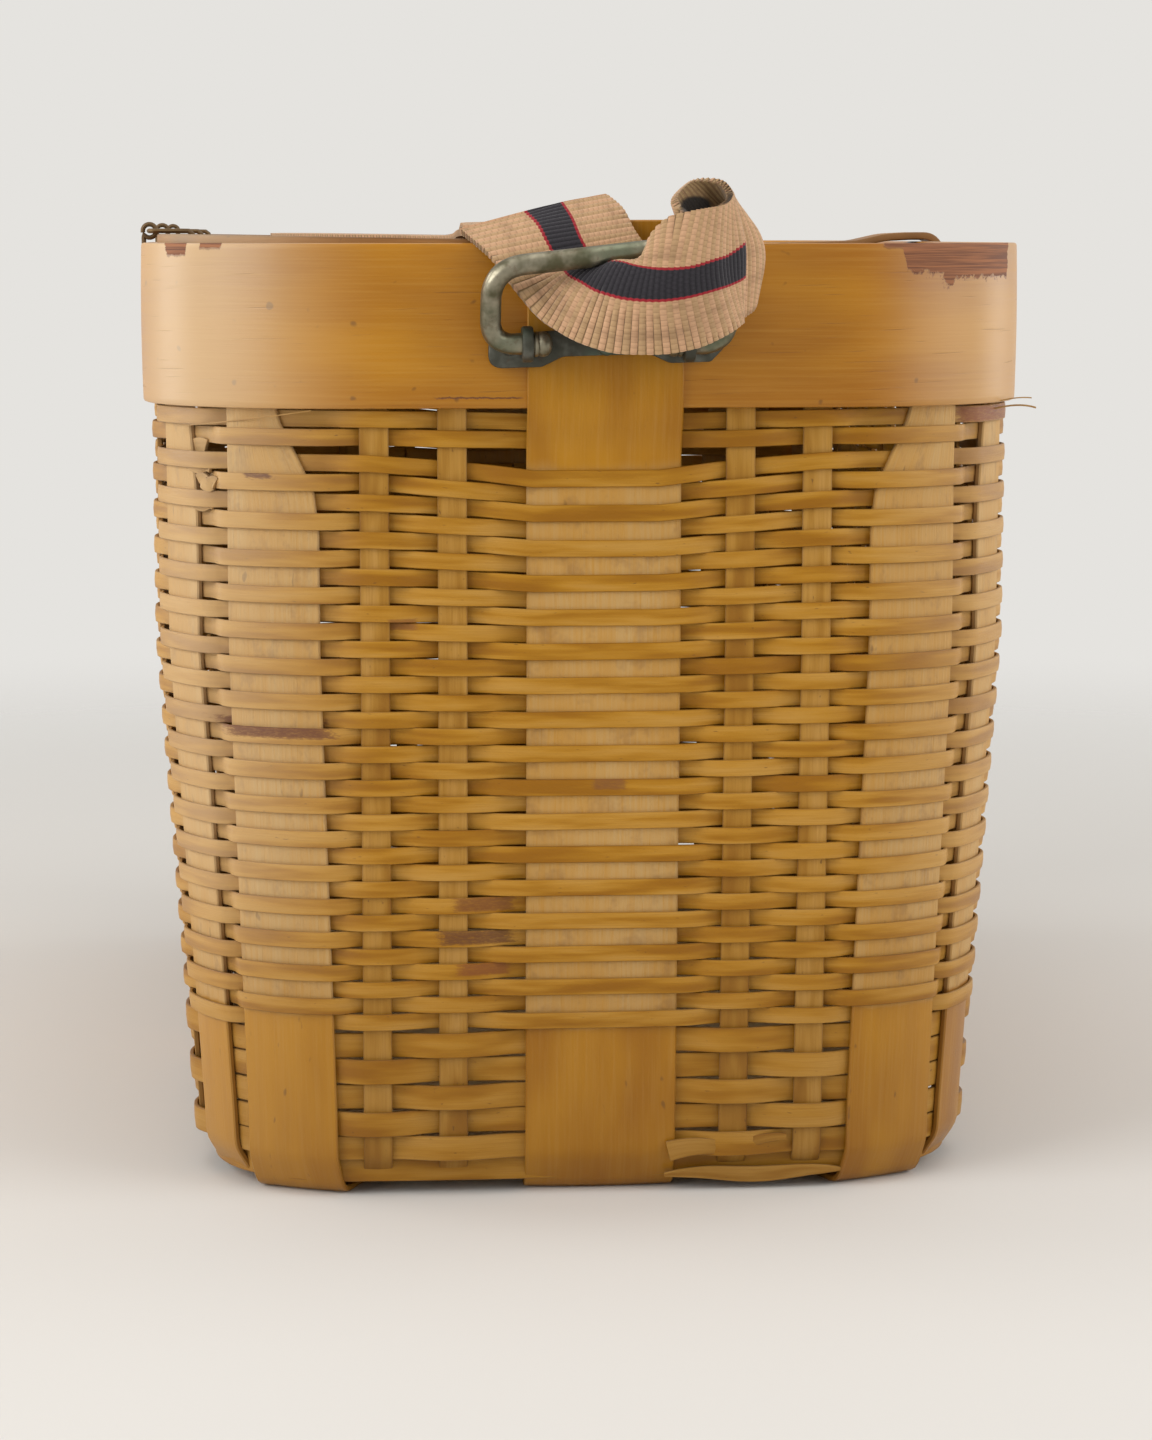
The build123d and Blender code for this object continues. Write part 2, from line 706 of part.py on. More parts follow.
run_line = [
    (strap_front_place, -lid_half_length), (-strap_lay, -strap_straight),
    (-strap_lay, strap_straight), (strap_rear_place, lid_half_length),
]
run_edge = [(x + strap_width / 2, y) for x, y in run_line]
run_edge += [(x - strap_width / 2, y) for x, y in reversed(run_line)]
with BuildPart() as strap_run:
    with BuildSketch(lid_plane.offset(loose_gap)):
        with BuildLine():
            Polyline(*run_edge, close=True)
        make_face()
    extrude(amount=strap_thickness)
finish(strap_run.part, "strap_run")

wrap = (rod_radius + loose_gap + strap_thickness / 2) * wrap_slack
over_splint = rim_height + splint_top_rise + strap_thickness
loop_line = [(rim_length / 2 - splint_thickness, over_splint + loop_lift)]
for angle in wrap_turns:
    turn = radians(angle)
    loop_line.append((bar_out + wrap * cos(turn), bar_height + wrap * sin(turn)))
loop_line += [
    (bar_out + loop_lift, bar_height + wrap + loop_lift / 2),
    (rim_length / 2, over_splint + strap_thickness + loop_spread),
]
loop_plane = Plane(origin=(centre_shift, 0, 0), x_dir=(0, 1, 0), z_dir=(1, 0, 0))
finish(bent_strip(loop_plane, loop_line, strap_thickness, strap_width), "strap_rear_loop")
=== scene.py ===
import random
from math import cos, exp, pi, radians, sin, sqrt

import bpy
import numpy as np
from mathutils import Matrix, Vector


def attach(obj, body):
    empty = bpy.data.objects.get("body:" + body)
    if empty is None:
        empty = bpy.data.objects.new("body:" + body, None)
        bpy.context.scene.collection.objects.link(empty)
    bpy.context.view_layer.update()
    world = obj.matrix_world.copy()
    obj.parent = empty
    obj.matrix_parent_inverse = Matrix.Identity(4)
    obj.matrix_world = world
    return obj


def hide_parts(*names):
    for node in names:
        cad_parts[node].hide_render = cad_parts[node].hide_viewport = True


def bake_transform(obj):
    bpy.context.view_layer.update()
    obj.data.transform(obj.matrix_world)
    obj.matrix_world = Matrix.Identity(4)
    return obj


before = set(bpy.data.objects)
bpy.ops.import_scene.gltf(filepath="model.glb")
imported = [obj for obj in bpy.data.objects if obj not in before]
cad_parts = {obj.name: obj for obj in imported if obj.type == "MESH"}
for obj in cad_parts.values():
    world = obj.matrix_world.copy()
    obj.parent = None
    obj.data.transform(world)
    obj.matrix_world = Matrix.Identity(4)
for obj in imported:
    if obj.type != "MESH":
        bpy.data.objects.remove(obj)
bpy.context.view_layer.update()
random.seed(7)
mm = 0.001  # every size below is in millimetres


def limited(value, low=0, high=1):
    return min(high, max(low, value))


def sign(operation, reflected=False):
    # what one of Python's own signs does to a wire
    def maths(wire, other=0):
        first, second = (other, wire) if reflected else (wire, other)
        return wire.paint.node("Math", {"operation": operation}, {0: first, 1: second})
    return maths


class Wire:
    def __init__(self, paint, socket):
        self.paint, self.socket = paint, socket

    __add__, __radd__ = sign("ADD"), sign("ADD", True)
    __sub__, __rsub__ = sign("SUBTRACT"), sign("SUBTRACT", True)
    __mul__, __rmul__ = sign("MULTIPLY"), sign("MULTIPLY", True)
    __truediv__, __rtruediv__ = sign("DIVIDE"), sign("DIVIDE", True)
    __pow__, __mod__ = sign("POWER"), sign("FLOORED_MODULO")
    floor, size, most = sign("FLOOR"), sign("ABSOLUTE"), sign("MAXIMUM")

    def ramp(self, low, high):  # 0 below low, 1 above high, smooth between; low may be the larger
        limits = {"Value": self, "From Min": low, "From Max": high, "To Min": 0.0, "To Max": 1.0}
        return self.paint.node("MapRange", {"interpolation_type": "SMOOTHSTEP"}, limits)

    def blend(self, first, second):  # colours
        return self.paint.node("Mix", {"data_type": "RGBA"}, {0: self, 6: first, 7: second}, 2)


class Paint:
    def __init__(self, home):  # a material or the world
        self.home = home
        home.use_nodes = True
        self.tree = home.node_tree
        self.tree.nodes.clear()

    def node(self, kind, settings, sockets, out=0):
        made = self.tree.nodes.new("ShaderNode" + kind)
        for key, value in settings.items():
            setattr(made, key, value)
        for key, value in sockets.items():
            if isinstance(value, Wire):
                self.tree.links.new(value.socket, made.inputs[key])
            else:
                made.inputs[key].default_value = value
        return Wire(self, made.outputs[out]) if made.outputs else None

    def place(self):  # object coordinates, in metres
        return self.node("TexCoord", {}, {}, 3)

    def parts(self, vector):
        return [self.node("SeparateXYZ", {}, {0: vector}, axis) for axis in range(3)]

    def flat(self):  # the strip's own map
        return self.parts(self.node("UVMap", {"uv_map": "UVMap"}, {}))[:2]

    def noise(self, vector, scale, detail, rough, warp=0.0):
        return self.node("TexNoise", {}, {"Vector": vector, "Scale": scale, "Detail": detail,
                                          "Roughness": rough, "Distortion": warp})

    def grain(self, x, y, z, detail, rough, warp=0.0):  # noise at three scales of its own
        return self.noise(self.node("CombineXYZ", {}, {0: x, 1: y, 2: z}), 1, detail, rough, warp)

    def bump(self, height, distance, strength):
        return self.node("Bump", {}, {"Height": height, "Distance": distance, "Strength": strength})

    def coat(self, **sockets):
        named = {key.replace("_", " "): value for key, value in sockets.items()}
        self.node("OutputMaterial", {}, {"Surface": self.node("BsdfPrincipled", {}, named)})
        return self.home


def newPaint(name):
    return Paint(bpy.data.materials.new(name))


def shade(red, green, blue):  # a colour as seen, 0 to 255, made linear
    return tuple(((part / 255 + 0.055) / 1.055) ** 2.4 for part in (red, green, blue)) + (1.0,)


def strand(paint):
    # along a strip in decimetres, across it from 0 to 1, and the strip's number
    along, cross = paint.flat()
    number = cross.floor()
    return along, cross - number, number


def strandTone(paint, number, seed):
    return paint.node("TexWhiteNoise", {"noise_dimensions": "1D"}, {"W": number * 1.37 + seed})


weaverLook = {
    "amber": shade(180, 127, 27), "deep": shade(148, 96, 6), "pale": shade(199, 155, 82),
    "grime": shade(84, 54, 28), "streaks": 26.0, "roughness": 0.42,
    # worn, broken and dark places: middle x and z, half width and height, slant, colour
    "scars": [(-63.5, 97.1, 11.0, 1.9, 0.9, (98, 56, 46)), (-22.3, 61.2, 6.2, 1.5, 0.0, (120, 72, 34)),
              (-24.0, 54.4, 7.6, 1.5, 0.3, (96, 58, 36)), (-22.4, 47.8, 5.4, 1.3, 0.0, (130, 76, 34)),
              (2.6, 85.8, 3.4, 1.4, 0.0, (128, 82, 40)), (-67.4, 148.4, 2.7, 1.7, 0.8, (96, 62, 52)),
              (80.5, 158.4, 7.5, 1.7, 0.2, (122, 66, 44)), (-38.5, 118.0, 3.0, 1.2, 0.0, (140, 90, 40))],
}


def scarred(paint, colour, scars):
    # dark places on the front end, ragged at their edges
    x, y, z = paint.parts(paint.place())
    front = y.ramp(-0.1, -0.104)
    ragged = paint.grain(x * 700, z * 2600, 0.0, 2, 0.7)
    for placeX, placeZ, halfX, halfZ, slant, tone in scars:
        across = ((x * 1000 - placeX + (z * 1000 - placeZ) * slant) / halfX).size()
        upright = ((z * 1000 - placeZ) / halfZ).size()
        mask = (across.most(upright) + (ragged - 0.5) * 0.9).ramp(1.1, 0.75)
        mask = mask * (ragged.ramp(0.2, 0.6) * 0.35 + 0.5) * front
        colour = mask.blend(colour, shade(*tone))
    return colour


# painted sheen: the pale colour laid on the sides of the front end stands in for a broad reflection of the
# side lights; the base is also made darker
sheenAndBaseTone = {"paintedSideSheen": shade(204, 182, 150), "baseDarkening": 0.3, "rightSide": 0.55}


def paleSidesDarkerBase(paint, colour, grime, sheenAmount):
    # painted sheen: paler towards the sides of the front end, standing in for a broad reflection of the side
    # lights; darker towards the base
    x, y, z = paint.parts(paint.place())
    sides = x.ramp(-0.04, -0.085) * sheenAmount + x.ramp(0.05, 0.085) * (sheenAmount * sheenAndBaseTone["rightSide"])
    sides = sides * y.ramp(-0.1, -0.135) * (z.ramp(0.03, 0.075) * 0.75 + 0.25)
    # painted sheen laid over the sides, then the colour darkened towards the base
    colour = sides.blend(colour, sheenAndBaseTone["paintedSideSheen"])
    return (z.ramp(0.08, 0.0) * sheenAndBaseTone["baseDarkening"]).blend(colour, grime)


def bambooPaint(name, look, seed):
    paint = newPaint(name)
    along, cross, number = strand(paint)
    tone = strandTone(paint, number, seed)
    fibre = paint.grain(along * 9, cross * look["streaks"], number * 3.1, 3, 0.65)
    patch = paint.grain(along * 4.2, cross * 1.3, number * 5.7, 2, 0.5)
    speck = paint.grain(along * 60, cross * 7, number * 9.3, 1, 0.5)
    colour = (patch + tone * 0.1 - 0.05).ramp(0.28, 0.6).blend(look["deep"], look["amber"])
    colour = ((patch * 0.9 + tone * 0.16).ramp(0.46, 0.8) * 0.55).blend(colour, look["pale"])
    colour = ((fibre - 0.5) * 1.1 + 0.12).most(0.0).blend(colour, look["deep"])
    colour = (speck.ramp(0.72, 0.84) * 0.55).blend(colour, look["grime"])
    rim = (cross - 0.5).size().ramp(0.40, 0.5)
    colour = (rim * 0.45).blend(colour, look["grime"])
    colour = paleSidesDarkerBase(paint, colour, look["grime"], 0.4)
    if "scars" in look:
        colour = scarred(paint, colour, look["scars"])
    roughness = look["roughness"] + (fibre - 0.5) * 0.25
    normal = paint.bump(fibre, 0.00012, 0.5)
    return paint.coat(Base_Color=colour, Roughness=roughness, Normal=normal, Specular_IOR_Level=0.25)


splintLook = {"amber": shade(184, 128, 24), "deep": shade(154, 98, 4), "pale": shade(192, 148, 82),
              "bone": shade(192, 155, 98), "grime": shade(86, 58, 34), "stain": shade(136, 98, 58)}


def splintPaint(name, scrapeBottom, scrapeTop):
    # glossy skin at the ends, scraped and fibrous where the weavers cross it
    paint = newPaint(name)
    look = splintLook
    along, cross, number = strand(paint)
    tone = strandTone(paint, number, 2.0)
    height = paint.parts(paint.place())[2] * 1000
    fibre = paint.grain(cross * 34, along * 3.4, number * 3.1, 3, 0.7)
    fine = paint.grain(cross * 85, along * 9, number * 2.3, 2, 0.6)
    patch = paint.grain(cross * 2.2, along * 2.6, number * 5.7, 2, 0.5)
    edge = (patch - 0.5) * 5
    scraped = (height + edge).ramp(scrapeBottom - 0.6, scrapeBottom + 0.6)
    scraped = scraped * (height + edge).ramp(scrapeTop + 2.0, scrapeTop - 3.0)
    skin = (patch * 0.8 + tone * 0.3).ramp(0.3, 0.75).blend(look["deep"], look["amber"])
    skin = ((fibre - 0.46) * 0.8).most(0.0).blend(skin, look["pale"])
    bare = fibre.ramp(0.36, 0.66).blend(look["pale"], look["bone"])
    bare = (fine.ramp(0.56, 0.74) * 0.5).blend(bare, look["amber"])
    bare = (patch.ramp(0.3, 0.65) * 0.45).blend(bare, look["amber"])
    stain = paint.grain(cross * 5, along * 14, number * 4.3, 3, 0.7)
    bare = (stain.ramp(0.5, 0.72) * 0.4).blend(bare, look["stain"])
    colour = scraped.blend(skin, bare)
    speck = paint.grain(cross * 14, along * 22, number * 9.3, 1, 0.5)
    colour = (speck.ramp(0.73, 0.82) * 0.5).blend(colour, look["grime"])
    rim = (cross - 0.5).size().ramp(0.455, 0.5)
    colour = (rim * 0.4).blend(colour, look["grime"])
    colour = paleSidesDarkerBase(paint, colour, look["grime"], 0.4)
    roughness = 0.36 + scraped * 0.26 + (fine - 0.5) * 0.15
    normal = paint.bump(fine * 0.5 + fibre, 0.0002, 0.25 + scraped * 0.45)
    return paint.coat(Base_Color=colour, Roughness=roughness, Normal=normal, Specular_IOR_Level=0.28)


stakeLook = {"amber": shade(176, 128, 46), "deep": shade(144, 96, 22), "pale": shade(198, 154, 86),
             "grime": shade(80, 54, 32), "streaks": 14.0, "roughness": 0.55}
hoopLook = {"amber": shade(156, 108, 56), "deep": shade(116, 78, 42), "pale": shade(176, 134, 84),
            "grime": shade(70, 48, 32), "streaks": 20.0, "roughness": 0.5}
lidLook = {"amber": shade(164, 122, 68), "deep": shade(128, 90, 48), "pale": shade(186, 148, 96),
           "grime": shade(76, 56, 38), "streaks": 22.0, "roughness": 0.58}
bandLook = {
    "amber": shade(186, 126, 18), "deep": shade(158, 98, 2), "pale": shade(200, 150, 66),
    "grime": shade(92, 58, 24), "wood": shade(104, 60, 34), "woodPale": shade(152, 96, 58),
    "roughness": 0.36, "top": 192.5,
    # a chip: from x, over how much, how deep it steps, all in millimetres
    "chips": [(54.5, 3.0, 0.8), (60.2, 0.9, 4.6), (64.0, 3.0, 0.6), (68.6, 0.5, 1.8), (71.2, 0.4, -1.2),
              (84.6, 0.6, -6.6),
              (-84.6, 0.6, 2.3), (-80.4, 0.5, -2.3), (-77.6, 0.5, 0.9), (-73.4, 0.6, -0.9)],
    "chipBack": (-0.116, -0.119),
    "crack": (-32.5, -14.0, 162.6),  # from x to x, and its height
}


def bandPaint():
    # smooth skin with fine scratches, chipped off in places so that the wood under it shows
    paint = newPaint("bent bamboo")
    look = bandLook
    along, cross, number = strand(paint)
    x, y, z = paint.parts(paint.place())
    x, z = x * 1000, z * 1000
    fibre = paint.grain(along * 3.2, cross * 46, number, 3, 0.65)
    patch = paint.grain(along * 1.6, cross * 1.6, number + 4.0, 2, 0.5)
    scratch = paint.grain(along * 5 + cross * 2, cross * 60 - along * 4, 7.0, 2, 0.6, 0.6)
    ragged = paint.grain(x * 0.75, z * 0.5, 3.0, 3, 0.7) - 0.5
    depth = 0.0
    for start, run, deep in look["chips"]:
        depth = (x + ragged * 1.6).ramp(start, start + run) * deep + depth
    edge = z - look["top"] + depth * (1.0 + ragged * 0.9)
    chipped = depth.ramp(0.3, 0.6) * y.ramp(*look["chipBack"])
    torn = edge.ramp(-0.02, 0.12) * chipped
    lip = edge.size().ramp(0.5, 0.1) * chipped
    low, high, level = look["crack"]
    crack = (z - level + ragged * 0.8).size().ramp(0.22, 0.08)
    crack = crack * x.ramp(low, low + 2) * x.ramp(high, high - 2) * y.ramp(-0.14, -0.142)
    skin = patch.ramp(0.3, 0.7).blend(look["deep"], look["amber"])
    skin = ((fibre - 0.45) * 0.9).most(0.0).blend(skin, look["pale"])
    scratched = scratch.ramp(0.66, 0.74)
    skin = (scratched * 0.35).blend(skin, look["grime"])
    speck = paint.grain(along * 26, cross * 9, 3.0, 1, 0.5)
    skin = (speck.ramp(0.72, 0.79) * 0.6).blend(skin, look["grime"])
    skin = paleSidesDarkerBase(paint, (crack * 0.85).blend(skin, look["wood"]), look["grime"], 0.62)
    wood = fibre.ramp(0.38, 0.62).blend(look["wood"], look["woodPale"])
    colour = torn.blend((lip * 0.6).blend(skin, look["wood"]), wood)
    rim = (cross - 0.5).size().ramp(0.478, 0.5)
    colour = (rim * 0.35).blend(colour, look["grime"])
    roughness = look["roughness"] + torn * 0.35 + (fibre - 0.5) * 0.18 + scratched * 0.15
    relief = fibre * (0.3 + torn) - scratched * 0.4 - torn * 1.6 - crack * 1.5
    normal = paint.bump(relief, 0.00025, 0.45)
    return paint.coat(Base_Color=colour, Roughness=roughness, Normal=normal, Specular_IOR_Level=0.35,
                      Coat_Weight=0.12, Coat_Roughness=0.45)


steelLook = {
    "bail": {"metal": shade(150, 143, 124), "dull": shade(80, 76, 52), "rust": shade(88, 64, 38),
             "verdigris": shade(84, 98, 76), "cover": -0.02},
    "plate": {"metal": shade(112, 112, 104), "dull": shade(66, 66, 56), "rust": shade(76, 56, 38),
              "verdigris": shade(78, 100, 84), "cover": 0.12},
    "wire": {"metal": shade(120, 96, 64), "dull": shade(96, 74, 46), "rust": shade(104, 70, 42),
             "verdigris": shade(96, 84, 60), "cover": 0.08},
}


def steelPaint(name, look):
    # worn plating: bright metal, a dull film over it, rust and verdigris in patches
    paint = newPaint(name)
    place = paint.place()
    film = paint.noise(place, 190, 3, 0.6)
    spots = paint.noise(place, 620, 3, 0.7)
    wide = paint.noise(place, 70, 2, 0.5)
    dull = (film + look["cover"]).ramp(0.3, 0.66)
    colour = dull.blend(look["metal"], look["dull"])
    colour = (wide.ramp(0.5, 0.66) * 0.6).blend(colour, look["verdigris"])
    rust = spots.ramp(0.56, 0.68) * (0.35 + look["cover"])
    colour = rust.blend(colour, look["rust"])
    metallic = (1.0 - dull * 0.45) * (1.0 - rust)
    roughness = 0.3 + dull * 0.24 + rust * 0.3 + (spots - 0.5) * 0.15
    normal = paint.bump(spots * 0.4 + film, 0.0004, 0.3)
    return paint.coat(Base_Color=colour, Metallic=metallic, Roughness=roughness, Normal=normal)


webLook = {"rib": shade(198, 156, 120), "shadedValley": shade(122, 94, 62), "khaki": shade(164, 138, 94),
           "stripe": shade(26, 24, 28), "stripeLight": shade(52, 48, 53), "red": shade(150, 32, 42),
           "grime": shade(110, 82, 56), "hollow": shade(14, 10, 8), "width": 28.0, "ribPitch": 1.08,
           # painted shade inside the turn, where no light reaches: middle x and z, half width and height
           "turn": (17.8, 199.7, 3.7, 1.9), "redHalf": 3.52, "darkHalf": 2.98}


def webbingPaint():
    paint = newPaint("webbing")
    look = webLook
    along, cross = paint.flat()
    along, across = along * (100 / look["ribPitch"]), (cross - 0.5) * look["width"]  # ribs, millimetres
    rib = (along % 1.0 - 0.5).size() * 2  # 1 on a rib, 0 between two
    row = (along + 0.5).floor() % 2.0
    threads = ((across / 1.1 + row * 0.5) % 1.0 - 0.5).size() * 2
    mottle = paint.grain(along * 0.06, across * 0.25, 0.0, 3, 0.6)
    fuzz = paint.grain(along * 2.2, across * 3.0, 0.0, 2, 0.7)
    # the valleys between the ribs and the threads' edges are darker: partly the weave's own colour, partly
    # painted shade between the ribs
    tan = rib.ramp(0.15, 0.6).blend(look["shadedValley"], look["rib"])
    tan = (row * 0.5).blend(tan, look["khaki"])
    tan = (threads.ramp(0.35, 0.0) * 0.35).blend(tan, look["shadedValley"])
    tan = (mottle.ramp(0.45, 0.75) * 0.45).blend(tan, look["grime"])
    x, y, z = paint.parts(paint.place())
    # painted shade: an ellipse inside the turn darkened nearly to black
    turnX, turnZ, halfWide, halfHigh = look["turn"]
    wide, high = (x * 1000 - turnX) / halfWide, (z * 1000 - turnZ).most(0.0) / halfHigh
    hollow = (wide * wide + high * high).ramp(1.2, 0.5) * y.ramp(-0.17, -0.169) * y.ramp(-0.1575, -0.159)
    tan = (hollow * 0.96).blend(tan, look["hollow"])
    # the stripe is lighter on the ribs: partly its own threads, partly painted highlight on the rib tops
    dark = (rib * 0.5 + fuzz * 0.4).ramp(0.3, 0.9).blend(look["stripe"], look["stripeLight"])
    under = x.ramp(0.0262, 0.0268) * y.ramp(-0.1625, -0.1615) * y.ramp(-0.15, -0.151)
    edge = across.size() + under * 6 + (rib - 0.5) * 0.25  # no stripe where the strap turns under itself
    colour = edge.ramp(look["redHalf"] + 0.1, look["redHalf"] - 0.1).blend(tan, look["red"])
    colour = edge.ramp(look["darkHalf"] + 0.08, look["darkHalf"] - 0.08).blend(colour, dark)
    height = rib * 0.6 + threads * 0.35 + fuzz * 0.3
    normal = paint.bump(height, 0.0004, 0.55)
    return paint.coat(Base_Color=colour, Roughness=0.86 + (fuzz - 0.5) * 0.1, Normal=normal,
                      Sheen_Weight=0.15, Specular_IOR_Level=0.25)


weaverPaint = bambooPaint("weaver bamboo", weaverLook, 0.0)
stakePaint = bambooPaint("stake bamboo", stakeLook, 5.0)
hoopPaint = bambooPaint("aged bamboo", hoopLook, 3.0)
lidPaint = bambooPaint("lid bamboo", lidLook, 8.0)
centrePaint = splintPaint("splint bamboo", 35.4, 149.0)
cornerPaint = splintPaint("corner splint bamboo", 38.8, 400.0)
rimPaint = bandPaint()
bailPaint = steelPaint("bail steel", steelLook["bail"])
platePaint = steelPaint("plate steel", steelLook["plate"])
wirePaint = steelPaint("hinge wire", steelLook["wire"])
webPaint = webbingPaint()
print("materials made")


def choose(*pieces):
    bpy.ops.object.select_all(action="DESELECT")
    for piece in pieces:
        piece.select_set(True)
    bpy.context.view_layer.objects.active = pieces[-1]


def modify(piece, kind, **settings):
    choose(piece)
    modifier = piece.modifiers.new(kind.title(), kind)
    for key, value in settings.items():
        setattr(modifier, key, value)
    bpy.ops.object.modifier_apply(modifier=modifier.name)


def roundEdges(piece, width, segments=2):
    modify(piece, "BEVEL", width=width * mm, segments=segments, limit_method="ANGLE", angle_limit=radians(50))


def addShape(name, operator, **settings):
    # everything else is deselected first, because operators act on all that is selected
    bpy.ops.object.select_all(action="DESELECT")
    operator(**settings)
    piece = bpy.context.object
    piece.name = name
    return piece


def dress(piece, material, body, nodes=(), smooth=40):
    piece.data.materials.clear()
    piece.data.materials.append(material)
    choose(piece)
    bpy.ops.object.shade_smooth_by_angle(angle=radians(smooth))
    if nodes:
        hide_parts(*nodes)
    if body:
        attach(piece, body)


def join(pieces, name):
    choose(*pieces)
    bpy.ops.object.join()
    whole = bpy.context.object
    whole.name = name
    return whole


stripNumber = [0]


def layGrid(name, spots, along, cross):
    # a grid primitive laid on rows of places, with a map of its own
    count, lanes = spots.shape[:2]
    piece = addShape(name, bpy.ops.mesh.primitive_grid_add, x_subdivisions=count - 1,
                     y_subdivisions=lanes - 1, size=1)
    mesh = piece.data
    places = np.zeros(len(mesh.vertices) * 3, np.float32)
    mesh.vertices.foreach_get("co", places)
    places = places.reshape(-1, 3) + 0.5
    station = np.rint(places[:, 0] * (count - 1)).astype(int)
    lane = np.rint(places[:, 1] * (lanes - 1)).astype(int)
    mesh.vertices.foreach_set("co", (spots[station, lane] * mm).astype(np.float32).ravel())
    corners = np.zeros(len(mesh.loops), np.int32)
    mesh.loops.foreach_get("vertex_index", corners)
    flat = np.stack([along[station[corners]], cross[lane[corners]]], axis=1)
    mesh.uv_layers[0].name = "UVMap"
    mesh.uv_layers[0].data.foreach_set("uv", flat.astype(np.float32).ravel())
    return piece


def layStrip(name, line, faces, halfWidths, thick, crown=0.1, across=3, edge=0.14, rings=1):
    # a flat strip laid along a line of points, its skin towards the faces
    stripNumber[0] += 1
    line, faces = np.array(line, float), np.array(faces, float)
    ways = np.gradient(line, axis=0)
    steps = np.linalg.norm(np.diff(line, axis=0), axis=1)
    ways /= np.linalg.norm(ways, axis=1)[:, None]
    faces -= ways * np.sum(ways * faces, axis=1)[:, None]
    faces /= np.linalg.norm(faces, axis=1)[:, None]
    sides = np.cross(faces, ways)
    lengths = np.concatenate([[0], np.cumsum(steps)])
    halves, crowns = [np.broadcast_to(np.array(size, float), (len(line),))[:, None]
                      for size in (halfWidths, crown)]
    lane = np.linspace(0, 1, across, dtype=np.float32)
    share = lane * 2 - 1
    spots = (line[:, None] + sides[:, None] * (halves * share)[:, :, None]
             + faces[:, None] * (crowns * (0.6 - share ** 2))[:, :, None])
    piece = layGrid(name, spots, lengths / 100 + stripNumber[0] * 3.7, stripNumber[0] + 0.02 + 0.96 * lane)
    modify(piece, "SOLIDIFY", thickness=thick * mm, offset=0.0)
    if edge:
        roundEdges(piece, edge, rings)
    return piece


def easeLine(points, radii, step):
    # a line of 2D points with round corners, divided evenly enough to bend smoothly
    line = [Vector(points[0])]
    for number, radius in enumerate(radii):
        before, corner, after = (Vector(p) for p in points[number:number + 3])
        wayIn, wayOut = (before - corner).normalized(), (after - corner).normalized()
        half = wayIn.angle(wayOut) / 2
        cut = min(radius / max(np.tan(half), 1e-3), 0.49 * (before - corner).length,
                  0.49 * (after - corner).length)
        first, last = corner + wayIn * cut, corner + wayOut * cut
        pieces = max(3, int((pi - 2 * half) * radius / step))
        for part in range(pieces + 1):
            share = part / pieces
            line.append(first.lerp(corner, share).lerp(corner.lerp(last, share), share))
    line.append(Vector(points[-1]))
    filled = [line[0]]
    for point in line[1:]:
        start = filled[-1]
        gap = (point - start).length
        runs = max(1, int(gap / (step * 4))) if gap > 1e-4 else 0
        filled += [start.lerp(point, (part + 1) / runs) for part in range(runs)]
    return filled


# the wall's plan is a rounded rectangle, walked counter-clockwise from the front middle
wall = {"halfWidth": 86.75, "halfLength": 146.75, "corner": 38.0, "knee": 112.0, "lean": 7.0, "foot": 5.6,
        "upright": 184.1, "bandBottom": 160.5, "bandHeight": 32.0,
        "levels": (0.0, 1.5, 3.0, 4.3),  # undersides of the four layers that cross under the base
        "turnIn": (3.0, 4.6),  # up and inwards, where an upright turns under the base
        "lap": 0.9995}  # how much of a round a row or a band fills before its ends meet
endFlat = wall["halfWidth"] - wall["corner"]
sideFlat = wall["halfLength"] - wall["corner"]
cornerArc = wall["corner"] * pi / 2
quarter = endFlat + cornerArc + sideFlat
wholeRound = 4 * quarter


def lean(height):
    return max(0.0, (wall["knee"] - height) * wall["lean"] / (wall["knee"] - wall["foot"]))


def wallSpot(distance, off=0.0):
    distance %= wholeRound
    turn = int(distance // quarter)
    along = distance - turn * quarter
    if turn % 2:
        along = quarter - along
    if along <= endFlat:
        x, y, angle = along, -wall["halfLength"], 0.0
    elif along <= endFlat + cornerArc:
        angle = (along - endFlat) / wall["corner"]
        x = endFlat + wall["corner"] * sin(angle)
        y = -sideFlat - wall["corner"] * cos(angle)
    else:
        x, y, angle = wall["halfWidth"], along - quarter, pi / 2
    side = 1 if turn in (0, 1) else -1
    end = 1 if turn in (0, 3) else -1
    outX, outY = side * sin(angle), -end * cos(angle)
    return side * x + outX * off, end * y + outY * off, outX, outY


stakes = {"width": 5.8, "thick": 1.1, "inner": 28.5, "outer": 43.8, "perSide": 7}
splints = {"thick": 1.3, "centre": 30.6, "shift": 1.4, "end": 19.5, "endPlace": 64.5, "corner": 17.0,
           "cornerPlace": 88.9, "side": 20.0, "top": 9.6, "taperBottom": 141.0, "endFoot": 26.0,
           "cornerFoot": 20.0, "trim": 2.2}


def quarterUprights():
    listed = [(stakes["inner"], stakes["width"] / 2), (stakes["outer"], stakes["width"] / 2),
              (splints["endPlace"], splints["end"] / 2), (splints["cornerPlace"], splints["corner"] / 2)]
    start = splints["cornerPlace"] + splints["corner"] / 2
    room = quarter - splints["side"] / 2 - start
    pitch = (room + stakes["width"]) / (stakes["perSide"] + 1)
    return listed + [(start - stakes["width"] / 2 + pitch * (number + 1), stakes["width"] / 2)
                     for number in range(stakes["perSide"])]


quarterList = quarterUprights()
mirroredList = [(-place, half) for place, half in reversed(quarterList)]
rearCentre, sideHalf = 2 * len(quarterList) + 2, splints["side"] / 2
uprights = [(splints["shift"], splints["centre"] / 2)] + quarterList + [(quarter, sideHalf)]
uprights += [(2 * quarter + place, half) for place, half in mirroredList]
uprights += [(2 * quarter - splints["shift"], splints["centre"] / 2)]
uprights += [(2 * quarter + place, half) for place, half in quarterList] + [(3 * quarter, sideHalf)]
uprights += [(wholeRound + place, half) for place, half in mirroredList]

